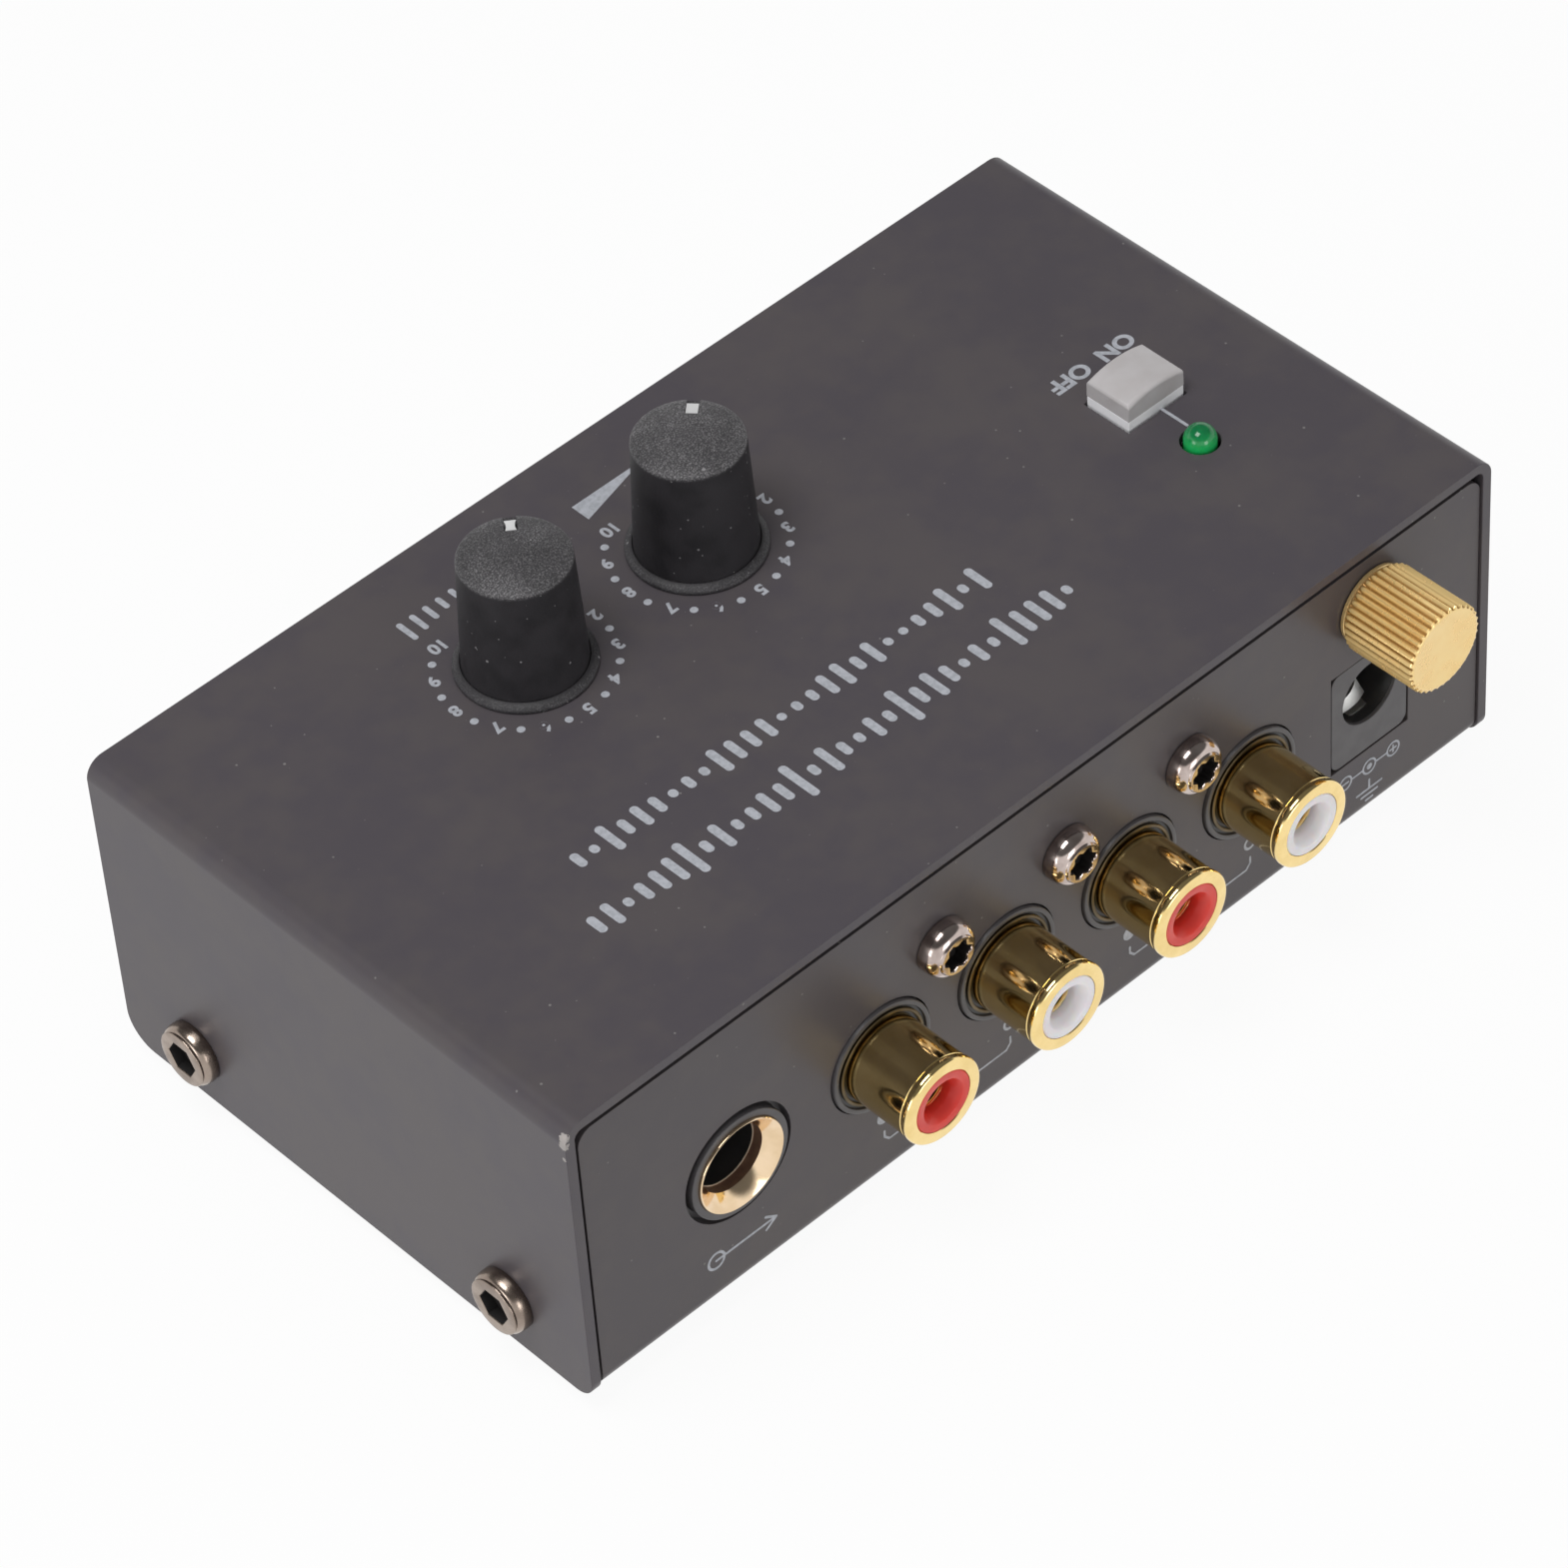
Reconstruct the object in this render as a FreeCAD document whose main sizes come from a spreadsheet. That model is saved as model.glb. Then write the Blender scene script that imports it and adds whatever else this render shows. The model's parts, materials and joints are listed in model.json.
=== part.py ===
"""Phono preamp: a bent-sheet case, two dial knobs, a power button and a rear connector panel.

Every shape is drawn about the case: X runs along the long side, Y points out of the rear panel,
Z is up, and the zero point is the centre of the cover's lower edge. Each piece's placement then
moves it onto its feet, with the origin under the middle of the whole preamp.
"""
import FreeCAD, Part
import math
import os
import re
import Sketcher
from FreeCAD import Placement, Rotation, Vector

PARTS_FOLDER = "parts"
NEAR = 1e-4

# Driving dimensions in millimetres and degrees.
SIZES = {
    # case sheets
    "case_long": 103.2,
    "case_deep": 57.0,
    "case_tall": 31.7,
    "sheet_thick": 1.0,
    "cover_bend": 1.8,
    "cover_front_corner": 3.0,
    "cover_rear_corner": 2.0,
    "tray_gap": 0.2,
    "tray_rise": 0.3,
    "tray_inset": 0.25,
    "tray_bend": 1.6,
    "tray_corner": 1.6,
    "flange_half": 23.0,
    "flange_top": 9.5,
    # feet
    "foot_x": 41.0,
    "foot_y": 19.0,
    "foot_radius": 4.5,
    "foot_tall": 2.0,
    "foot_slope": 0.5,
    # cover screws
    "end_screw_y": 19.1,
    "end_screw_z": 5.2,
    "end_screw_radius": 1.5,
    "end_screw_play": 0.15,
    "end_screw_long": 3.8,
    "end_head_radius": 2.75,
    "end_head_tall": 1.65,
    "end_head_edge": 0.7,
    "end_face_radius": 2.35,
    "end_socket_radius": 1.2,
    "end_socket_deep": 1.0,
    # circuit board
    "board_top": 8.0,
    "board_thick": 1.6,
    "board_half": 47.5,
    "board_front": -24.0,
    "board_back": 26.9,
    "board_screw_x": 44.6,
    "board_screw_front": -19.0,
    "board_screw_pitch": 28.0,
    "board_screw_rows": 2,
    "board_screw_radius": 1.5,
    "board_screw_play": 0.1,
    "board_head_radius": 2.6,
    "board_head_tall": 1.8,
    "board_head_edge": 0.9,
    "board_screw_deep": 4.0,
    "recess_radius": 1.0,
    "recess_deep": 0.9,
    "standoff_radius": 2.75,
    # dial knobs
    "dial_count": 2,
    "level_x": 0.6,
    "volume_x": 19.5,
    "knob_y": -11.35,
    "level_rest": 221.0,
    "volume_rest": 233.0,
    "knob_gap": 0.2,
    "knob_skirt": 5.9,
    "knob_skirt_edge": 0.2,
    "knob_foot": 5.3,
    "knob_foot_rise": 0.65,
    "knob_cap": 4.75,
    "knob_rim": 11.9,
    "knob_dome": 0.4,
    "knob_rim_round": 0.45,
    "knob_bore_deep": 8.8,
    "notch_start": 2.85,
    "notch_half": 0.5,
    "notch_deep": 0.75,
    "pointer_start": 2.95,
    "pointer_end": 4.25,
    "pointer_half": 0.45,
    "pointer_thick": 0.4,
    "shaft_hole": 3.6,
    # potentiometers
    "pot_half_x": 4.9,
    "pot_half_y": 5.4,
    "pot_base_tall": 3.4,
    "pot_floor": 0.9,
    "pot_cavity": 4.2,
    "pot_can_tall": 3.6,
    "pot_collar": 3.9,
    "pot_collar_tall": 1.0,
    "pot_play": 0.06,
    "shaft_radius": 3.0,
    "shaft_tip": 1.9,
    "shaft_step": 1.9,
    "track_outer": 4.0,
    "track_inner": 2.2,
    "track_thick": 0.3,
    "wiper_radius": 3.9,
    "wiper_rise": 1.9,
    "wiper_thick": 0.6,
    "finger_radius": 0.25,
    "finger_gap": 0.06,
    "finger_place": 3.45,
    "terminal_pitch": 2.5,
    "terminal_count": 3,
    "terminal_half": 0.4,
    "terminal_thick": 0.6,
    "terminal_tall": 1.6,
    # power button and switch
    "button_x": -36.65,
    "button_y": 2.2,
    "button_half_x": 3.25,
    "button_half_y": 2.45,
    "button_play": 0.2,
    "button_white_rise": 1.2,
    "button_edge_rise": 2.55,
    "button_crown": 0.55,
    "button_round": 0.4,
    "stem_bottom": 18.0,
    "stem_socket_deep": 2.8,
    "plunger_half": 1.6,
    "plunger_play": 0.08,
    "plunger_bottom": 12.1,
    "plunger_flange": 2.2,
    "plunger_flange_tall": 0.8,
    "switch_half": 4.0,
    "switch_top": 15.6,
    "switch_floor": 1.0,
    "switch_roof": 13.0,
    "switch_cavity": 2.4,
    "spring_radius": 1.2,
    "spring_wire": 0.11,
    "spring_pitch": 0.7,
    "spring_gap": 0.05,
    # lamp
    "lamp_x": -36.6,
    "lamp_y": 9.75,
    "lamp_hole": 1.74,
    "lamp_radius": 1.45,
    "lamp_centre_rise": 0.15,
    "lamp_body_drop": 3.6,
    "lamp_flange": 1.68,
    "lamp_flange_tall": 0.8,
    "lead_spacing": 2.54,
    "lead_count": 2,
    "lead_radius": 0.25,
    "lead_play": 0.1,
    "spacer_radius": 2.1,
    # phono sockets
    "rca_left": -22.9,
    "rca_pitch": 14.0,
    "rca_count": 4,
    "rca_z": 14.5,
    "rca_hole": 5.45,
    "rca_boss": 5.2,
    "rca_boss_rise": 0.35,
    "rca_flange": 4.75,
    "rca_flange_thick": 0.35,
    "rca_barrel": 4.15,
    "rca_barrel_bore": 3.75,
    "rca_reach": 7.2,
    "rca_seat_deep": 5.0,
    "rca_seat": 3.95,
    "rca_rim": 4.05,
    "rca_rim_long": 0.7,
    "rca_rim_bore": 2.97,
    "rca_funnel": 2.35,
    "rca_funnel_deep": 0.9,
    "rca_bore": 1.62,
    "rca_throat": 1.8,
    "rca_contact": 1.95,
    "rca_face_drop": 0.05,
    "rca_housing_deep": 10.0,
    "rca_housing_top": 25.6,
    "rca_housing_side": 7.0,
    "rca_screw_z": 22.1,
    "rca_screw_count": 3,
    "rca_screw_hole": 1.5,
    "rca_screw_radius": 1.3,
    "rca_screw_long": 9.0,
    "rca_head_radius": 2.55,
    "rca_head_edge": 0.6,
    "rca_head_shoulder": 1.35,
    "rca_head_shoulder_radius": 1.9,
    "rca_head_tall": 1.6,
    # output socket
    "jack_x": 34.6,
    "jack_z": 14.3,
    "jack_hole": 5.65,
    "jack_bushing": 5.15,
    "jack_bushing_rise": 0.25,
    "jack_half": 7.0,
    "jack_top": 20.6,
    "jack_deep": 32.5,
    "jack_front_wall": 5.0,
    "jack_wall": 2.2,
    "jack_ferrule": 4.45,
    "jack_bore": 3.21,
    "jack_flare": 4.15,
    "jack_flare_deep": 1.4,
    "jack_ferrule_rise": 0.3,
    "jack_ferrule_long": 6.0,
    "leaf_half": 1.3,
    "leaf_thick": 0.35,
    "leaf_gap": 3.45,
    "leaf_long": 14.0,
    # direct-current inlet
    "dc_x": -37.4,
    "dc_half": 4.55,
    "dc_bottom": 8.05,
    "dc_top": 18.95,
    "dc_play": 0.13,
    "dc_deep": 14.0,
    "dc_face_drop": 0.05,
    "dc_corner": 1.0,
    "dc_z": 14.5,
    "dc_hole": 3.18,
    "dc_hole_deep": 10.0,
    "dc_pin": 1.0,
    "dc_pin_drop": 2.4,
    "dc_pin_root": 2.0,
    "dc_contact_low": 3.15,
    "dc_contact_thick": 0.25,
    "dc_contact_half": 2.1,
    "dc_contact_drop": 1.3,
    "dc_slot_play": 0.1,
    # ground terminal
    "ground_x": -37.4,
    "ground_z": 24.9,
    "stud_radius": 1.95,
    "stud_hole": 2.05,
    "stud_reach": 6.0,
    "stud_head": 4.0,
    "stud_head_thick": 2.9,
    "tag_thick": 0.6,
    "tag_radius": 3.6,
    "tag_arm": 6.5,
    "tag_half": 1.5,
    "tag_tail": 5.6,
    "wire_radius": 0.7,
    "wire_bend": 4.0,
    "wire_drop_y": 13.0,
    "washer_radius": 3.7,
    "washer_hole": 2.1,
    "washer_thick": 0.45,
    "washer_gap": 0.05,
    "nut_radius": 4.15,
    "nut_base": 0.6,
    "nut_reach": 8.3,
    "nut_bore": 2.0,
    "nut_bore_reach": 7.0,
    "nut_round": 0.35,
    "knurl_radius": 0.3,
    "knurl_count": 30,
    # board components
    "can_radius": 3.15,
    "can_tall": 11.5,
    "can_round": 0.4,
    "can_first_x": -27.0,
    "can_y": 11.5,
    "can_pitch": 8.0,
    "can_count": 4,
    "reservoir_radius": 4.0,
    "reservoir_tall": 12.5,
    "reservoir_x": 31.5,
    "reservoir_y": -10.5,
    "reservoir_pitch": 9.5,
    "reservoir_count": 2,
    "film_half_x": 3.6,
    "film_half_y": 1.5,
    "film_tall": 7.0,
    "film_first_x": -24.0,
    "film_y": 4.5,
    "film_pitch": 9.5,
    "film_count": 5,
    "chip_half_x": 4.8,
    "chip_half_y": 3.2,
    "chip_lift": 0.5,
    "chip_tall": 3.4,
    "chip_first_x": -25.0,
    "chip_y": -11.0,
    "chip_pitch": 11.7,
    "chip_count": 2,
    "chip_leg_count": 4,
    "chip_leg_pitch": 2.54,
    "chip_leg_half": 0.35,
    "chip_leg_thick": 0.3,
    "chip_leg_tall": 2.1,
    "resistor_radius": 1.1,
    "resistor_half": 3.0,
    "resistor_first_x": -32.0,
    "resistor_y": -20.7,
    "resistor_pitch": 4.6,
    "resistor_count": 14,
    "regulator_x": -40.0,
    "regulator_y": -8.0,
    "regulator_half": 5.0,
    "regulator_thick": 3.2,
    "regulator_lift": 3.0,
    "regulator_tall": 8.8,
    "regulator_tab_thick": 1.3,
    "regulator_tab_tall": 6.2,
    "regulator_leg_half": 0.4,
    "regulator_leg_count": 3,
    "diode_x": -29.0,
    "diode_y": -2.0,
    "diode_radius": 1.35,
    "diode_half": 2.5,
}

# Sizes that follow from the driving ones.
DERIVED = {
    "panel_out": "case_deep / 2 - tray_inset",
    "panel_in": "panel_out - sheet_thick",
    "tray_half": "case_long / 2 - sheet_thick - tray_gap",
    "tray_top": "case_tall - sheet_thick - tray_gap",
    "floor_top": "tray_rise + sheet_thick",
    "edge_rise": "foot_tall - tray_rise",
    "case_shift": "-(nut_reach - tray_inset) / 2",
    "board_under": "board_top - board_thick",
    "knob_bottom": "case_tall + knob_gap",
    "knob_pitch": "volume_x - level_x",
    "pot_top": "board_top + pot_base_tall + pot_can_tall",
    "wiper_bottom": "board_top + wiper_rise",
    "finger_bottom": "board_top + pot_floor + track_thick + finger_gap",
    "spring_seat": "board_top + switch_floor + spring_gap + spring_wire",
    "lamp_centre": "case_tall + lamp_centre_rise",
    "lamp_bottom": "case_tall - lamp_body_drop - lamp_flange_tall",
    "rca_face": "panel_out + rca_reach",
    "rca_back": "panel_in - rca_seat_deep",
    "rca_tail": "panel_in - rca_housing_deep",
    "rca_screw_left": "rca_left + rca_pitch / 2",
    "jack_face": "panel_out + jack_ferrule_rise",
    "jack_back": "panel_in - jack_deep",
    "dc_face": "panel_out - dc_face_drop",
    "stud_head_back": "panel_in - tag_thick",
    "end_face": "case_long / 2",
}

doc = FreeCAD.newDocument("phono_preamp")
sheet = doc.addObject("Spreadsheet::Sheet", "Sizes")
pieces = []


def fill_sheet():
    """Write each driving dimension as a plain number in a cell with an alias."""
    for row, (alias, size) in enumerate(SIZES.items(), start=1):
        sheet.set("A%d" % row, alias)
        sheet.set("B%d" % row, str(size))
        sheet.setAlias("B%d" % row, alias)
    doc.recompute()


def bound(expression):
    """Give an expression in size names as one that points at the sheet's cells."""

    def cell(word):
        name = word.group()
        if name in DERIVED:
            return "(" + bound(DERIVED[name]) + ")"
        return "Sizes." + name if name in SIZES else name

    return re.sub(r"[a-z_]+", cell, expression)


def value(expression):
    """Give the number that an expression in size names has now."""
    return float(sheet.evalExpression(bound(expression)))


def bind(item, prop, expression):
    """Bind a property to an expression in size names."""
    item.setExpression(prop, bound(expression))


def origin_item(body, role):
    """Find a body's origin plane or axis by its role."""
    return next(item for item in body.Origin.OriginFeatures if item.Role == role)


def new_body(label):
    """Start a piece as a body that stands where the case stands."""
    body = doc.addObject("PartDesign::Body", label)
    body.Label = label
    bind(body, "Placement.Base.y", "case_shift")
    bind(body, "Placement.Base.z", "edge_rise")
    pieces.append(body)
    return body


def sketch_on(body, role, right="0", up="0", out="0", turn="0"):
    """Start a sketch on an origin plane, moved and turned in that plane by bound sizes."""
    sketch = body.newObject("Sketcher::SketchObject", body.Label + "_sketch")
    sketch.AttachmentSupport = [(origin_item(body, role), "")]
    sketch.MapMode = "FlatFace"
    place = Vector(value(right), value(up), value(out))
    sketch.AttachmentOffset = Placement(place, Rotation(Vector(0, 0, 1), value(turn)))
    for axis, expression in zip("xyz", (right, up, out)):
        bind(sketch, ".AttachmentOffset.Base." + axis, expression)
    if turn != "0":
        bind(sketch, ".AttachmentOffset.Rotation.Angle", turn)
    return sketch


def limit(sketch, kind, geometry, point, expression):
    """Tie one coordinate of a sketch point to an expression."""
    constraint = Sketcher.Constraint(kind, -1, 1, geometry, point, value(expression))
    index = sketch.addConstraint(constraint)
    sketch.setExpression("Constraints[%d]" % index, bound(expression))


def outline(sketch, corners):
    """Draw a closed outline through corners given as pairs of expressions."""
    places = [Vector(value(across), value(up), 0) for across, up in corners]
    first = sketch.GeometryCount
    count = len(places)
    for index, start in enumerate(places):
        sketch.addGeometry(Part.LineSegment(start, places[(index + 1) % count]), False)
    for index, (across, up) in enumerate(corners):
        following = first + (index + 1) % count
        sketch.addConstraint(Sketcher.Constraint("Coincident", first + index, 2, following, 1))
        limit(sketch, "DistanceX", first + index, 1, across)
        limit(sketch, "DistanceY", first + index, 1, up)


def rectangle(sketch, left, low, right, high):
    """Draw a rectangle between two corners given as expressions."""
    outline(sketch, [(left, low), (right, low), (right, high), (left, high)])


def centred_rectangle(sketch, half_across, half_up):
    """Draw a rectangle about the sketch's own zero point."""
    rectangle(sketch, "-" + half_across, "-" + half_up, half_across, half_up)


def circle(sketch, across, up, radius):
    """Draw a circle whose centre and radius are expressions."""
    centre = Vector(value(across), value(up), 0)
    index = sketch.addGeometry(Part.Circle(centre, Vector(0, 0, 1), value(radius)), False)
    limit(sketch, "DistanceX", index, 3, across)
    limit(sketch, "DistanceY", index, 3, up)
    size = sketch.addConstraint(Sketcher.Constraint("Radius", index, value(radius)))
    sketch.setExpression("Constraints[%d]" % size, bound(radius))


def hexagon(sketch, radius):
    """Draw a hexagon with its corners at a radius from the sketch's zero point."""
    corners = []
    for corner in range(6):
        angle = 60 * corner
        corners.append(("%s * cos(%d)" % (radius, angle), "%s * sin(%d)" % (radius, angle)))
    outline(sketch, corners)


def pad(body, sketch, length, both_ways=False):
    """Grow a sketch into a solid, to one side or half to each side."""
    feature = body.newObject("PartDesign::Pad", body.Label + "_pad")
    feature.Profile = sketch
    feature.Midplane = both_ways
    bind(feature, "Length", length)
    return feature


def cut(body, sketch, depth=None, both_ways=False, towards_normal=False):
    """Cut a sketch out of a body, right through or to a depth, and check that it cuts."""
    doc.recompute()
    before = body.Shape.Volume
    feature = body.newObject("PartDesign::Pocket", body.Label + "_cut")
    feature.Profile = sketch
    feature.Midplane = both_ways
    feature.Reversed = towards_normal
    if depth is None:
        feature.Type = "ThroughAll"
    else:
        bind(feature, "Length", depth)
    doc.recompute()
    if body.Shape.Volume > before - NEAR:
        raise ValueError("cut removes nothing from " + body.Label)
    return feature


def turned(body, sketch, axis="V_Axis"):
    """Turn a sketch a full round about one of its axes."""
    feature = body.newObject("PartDesign::Revolution", body.Label + "_turned")
    feature.Profile = sketch
    feature.ReferenceAxis = (sketch, [axis])
    feature.Angle = 360
    return feature


def turned_along_x(body, y_place, z_place, profile):
    """Turn a profile of (x, radius) pairs about a line along X."""
    sketch = sketch_on(body, "XY_Plane", up=y_place, out=z_place)
    outline(sketch, profile)
    return turned(body, sketch, "H_Axis")


def turned_along_y(body, x_place, z_place, profile):
    """Turn a profile of (radius, y) pairs about a line along Y."""
    sketch = sketch_on(body, "XY_Plane", right=x_place, out=z_place)
    outline(sketch, profile)
    turned(body, sketch)
    return sketch


def turned_along_z(body, x_place, y_place, profile):
    """Turn a profile of (radius, z) pairs about a line along Z."""
    sketch = sketch_on(body, "XZ_Plane", right=x_place, out="-(" + y_place + ")")
    outline(sketch, profile)
    return turned(body, sketch)


def block(body, x_range, y_range, z_range):
    """Add a block between pairs of expressions along X, Y and Z."""
    sketch = sketch_on(body, "XY_Plane", out=z_range[0])
    rectangle(sketch, x_range[0], y_range[0], x_range[1], y_range[1])
    return pad(body, sketch, "(%s) - (%s)" % (z_range[1], z_range[0]))


def around(centre, half):
    """Give the two ends of a span about a centre."""
    return "%s - %s" % (centre, half), "%s + %s" % (centre, half)


def post(body, x_place, y_place, radius, low, high):
    """Add an upright round post."""
    sketch = sketch_on(body, "XY_Plane", out=low)
    circle(sketch, x_place, y_place, radius)
    return pad(body, sketch, "(%s) - (%s)" % (high, low))


def edges_where(feature, test):
    """Name the edges of a feature that pass a test on their bounding box."""
    doc.recompute()
    return ["Edge%d" % index for index, edge in enumerate(feature.Shape.Edges, start=1)
            if test(edge.BoundBox)]


def dress(body, kind, prop, base, names, size):
    """Round or bevel named edges of a feature."""
    feature = body.newObject("PartDesign::" + kind, body.Label + "_" + kind.lower())
    feature.Base = (base, names)
    bind(feature, prop, size)
    doc.recompute()
    return feature


def rounded(body, base, size, test):
    """Round the edges of a feature that pass a test."""
    return dress(body, "Fillet", "Radius", base, edges_where(base, test), size)


def hollowed(body, base, wall, test):
    """Turn a solid into a sheet by opening the faces that pass a test."""
    doc.recompute()
    names = ["Face%d" % index for index, face in enumerate(base.Shape.Faces, start=1)
             if test(face.CenterOfMass)]
    feature = body.newObject("PartDesign::Thickness", body.Label + "_sheet")
    feature.Base = (base, names)
    feature.Reversed = True
    bind(feature, "Value", wall)
    doc.recompute()
    return feature


def mirrored(body, role):
    """Repeat the whole piece on the other side of an origin plane."""
    feature = body.newObject("PartDesign::Mirrored", body.Label + "_mirrored")
    feature.TransformMode = "Whole shape"
    feature.MirrorPlane = (origin_item(body, role), [""])
    body.Tip = feature
    doc.recompute()


def repeated(body, role, pitch, count):
    """Repeat the whole piece along an origin axis at a steady pitch."""
    feature = body.newObject("PartDesign::LinearPattern", body.Label + "_repeated")
    feature.TransformMode = "Whole shape"
    feature.Direction = (origin_item(body, role), [""])
    feature.Mode = "Spacing"
    bind(feature, "Offset", pitch)
    bind(feature, "Occurrences", count)
    body.Tip = feature
    doc.recompute()


def close(number, target):
    """Tell whether two lengths are the same."""
    return abs(number - target) < NEAR


# Case


def make_top_cover():
    """The upper sheet: the top and both ends, bent from one piece."""
    body = new_body("top_cover")
    top = value("case_tall")
    half_deep = value("case_deep / 2")
    footprint = sketch_on(body, "XY_Plane")
    centred_rectangle(footprint, "case_long / 2", "case_deep / 2")
    solid = pad(body, footprint, "case_tall")
    bent = rounded(body, solid, "cover_bend",
                   lambda box: close(box.ZMin, top) and box.YLength > half_deep)
    folded = hollowed(body, bent, "sheet_thick",
                      lambda centre: close(abs(centre.y), half_deep) or close(centre.z, 0))
    front = rounded(body, folded, "cover_front_corner",
                    lambda box: close(box.ZMax, 0) and close(box.YMax, -half_deep)
                    and close(box.XLength, value("sheet_thick")))
    rounded(body, front, "cover_rear_corner",
            lambda box: close(box.ZMax, 0) and close(box.YMin, half_deep)
            and close(box.XLength, value("sheet_thick")))

    openings = sketch_on(body, "XY_Plane", out="case_tall")
    circle(openings, "level_x", "knob_y", "shaft_hole")
    circle(openings, "volume_x", "knob_y", "shaft_hole")
    circle(openings, "lamp_x", "lamp_y", "lamp_hole")
    rectangle(openings, "button_x - button_half_x - button_play", "button_y - button_half_y - button_play",
              "button_x + button_half_x + button_play", "button_y + button_half_y + button_play")
    cut(body, openings, "2 * sheet_thick")

    screw_holes = sketch_on(body, "YZ_Plane")
    for side in ("-", ""):
        circle(screw_holes, side + "end_screw_y", "end_screw_z", "end_screw_radius + end_screw_play")
    cut(body, screw_holes, both_ways=True)


def make_bottom_tray():
    """The lower sheet: floor, front and rear panel, with an upright flange at each end."""
    body = new_body("bottom_tray")
    low = value("tray_rise")
    top = value("tray_top")
    half_long = value("tray_half")
    half_deep = value("panel_out")
    footprint = sketch_on(body, "XY_Plane", out="tray_rise")
    centred_rectangle(footprint, "(tray_half)", "(panel_out)")
    solid = pad(body, footprint, "tray_top - tray_rise")
    bent = rounded(body, solid, "tray_bend", lambda box: close(box.ZMax, low) and box.XLength > half_long)
    folded = hollowed(body, bent, "sheet_thick",
                      lambda centre: close(abs(centre.x), half_long) or close(centre.z, top))
    rounded(body, folded, "tray_corner",
            lambda box: close(box.ZMin, top) and close(box.XLength, 0)
            and close(box.YLength, value("sheet_thick")))
    block(body, ("-tray_half", "-tray_half + sheet_thick"), ("-flange_half", "flange_half"),
          ("tray_rise", "flange_top"))
    block(body, ("tray_half - sheet_thick", "tray_half"), ("-flange_half", "flange_half"),
          ("tray_rise", "flange_top"))

    connectors = sketch_on(body, "XZ_Plane")
    for place in range(SIZES["rca_count"]):
        circle(connectors, "rca_left + %d * rca_pitch" % place, "rca_z", "rca_hole")
    for place in range(SIZES["rca_screw_count"]):
        circle(connectors, "rca_screw_left + %d * rca_pitch" % place, "rca_screw_z", "rca_screw_hole")
    circle(connectors, "jack_x", "jack_z", "jack_hole")
    circle(connectors, "ground_x", "ground_z", "stud_hole")
    rectangle(connectors, "dc_x - dc_half - dc_play", "dc_bottom - dc_play",
              "dc_x + dc_half + dc_play", "dc_top + dc_play")
    cut(body, connectors)

    screw_holes = sketch_on(body, "YZ_Plane")
    for side in ("-", ""):
        circle(screw_holes, side + "end_screw_y", "end_screw_z", "end_screw_radius")
    cut(body, screw_holes, both_ways=True)


def make_rubber_feet():
    """Four round feet stuck under the tray."""
    body = new_body("rubber_feet")
    turned_along_z(body, "foot_x", "foot_y", [
        ("0", "tray_rise - foot_tall"),
        ("foot_radius - foot_slope", "tray_rise - foot_tall"),
        ("foot_radius", "tray_rise"),
        ("0", "tray_rise"),
    ])
    mirrored(body, "YZ_Plane")
    mirrored(body, "XZ_Plane")


def make_cover_screws():
    """Four socket-head screws that hold the cover's ends to the tray's flanges."""
    body = new_body("cover_screws")
    turned_along_x(body, "end_screw_y", "end_screw_z", [
        ("end_face - end_screw_long", "0"),
        ("end_face - end_screw_long", "end_screw_radius"),
        ("end_face", "end_screw_radius"),
        ("end_face", "end_head_radius"),
        ("end_face + end_head_edge", "end_head_radius"),
        ("end_face + end_head_tall", "end_face_radius"),
        ("end_face + end_head_tall", "0"),
    ])
    socket = sketch_on(body, "YZ_Plane", right="end_screw_y", up="end_screw_z",
                       out="end_face + end_head_tall")
    hexagon(socket, "end_socket_radius")
    cut(body, socket, "end_socket_deep")
    mirrored(body, "YZ_Plane")
    mirrored(body, "XZ_Plane")


# Circuit board and its fixings


def make_circuit_board():
    """The one circuit board, held on four standoffs."""
    body = new_body("circuit_board")
    block(body, ("-board_half", "board_half"), ("board_front", "board_back"), ("board_under", "board_top"))
    holes = sketch_on(body, "XY_Plane", out="board_top")
    for side in ("-", ""):
        for place in range(SIZES["board_screw_rows"]):
            circle(holes, side + "board_screw_x", "board_screw_front + %d * board_screw_pitch" % place,
                   "board_screw_radius + board_screw_play")
    cut(body, holes)


def make_board_standoffs():
    """Four threaded pillars between the tray's floor and the board."""
    body = new_body("board_standoffs")
    turned_along_z(body, "board_screw_x", "board_screw_front", [
        ("board_screw_radius", "floor_top"),
        ("standoff_radius", "floor_top"),
        ("standoff_radius", "board_under"),
        ("board_screw_radius", "board_under"),
    ])
    mirrored(body, "YZ_Plane")
    repeated(body, "Y_Axis", "board_screw_pitch", "board_screw_rows")


def make_board_screws():
    """Four pan-head screws that hold the board to its standoffs."""
    body = new_body("board_screws")
    turned_along_z(body, "board_screw_x", "board_screw_front", [
        ("0", "board_top - board_screw_deep"),
        ("board_screw_radius", "board_top - board_screw_deep"),
        ("board_screw_radius", "board_top"),
        ("board_head_radius", "board_top"),
        ("board_head_radius", "board_top + board_head_edge"),
        ("board_head_radius / 2", "board_top + board_head_tall"),
        ("0", "board_top + board_head_tall"),
    ])
    recess = sketch_on(body, "XY_Plane", right="board_screw_x", up="board_screw_front",
                       out="board_top + board_head_tall")
    hexagon(recess, "recess_radius")
    cut(body, recess, "recess_deep")
    mirrored(body, "YZ_Plane")
    repeated(body, "Y_Axis", "board_screw_pitch", "board_screw_rows")


# Phono sockets


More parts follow.
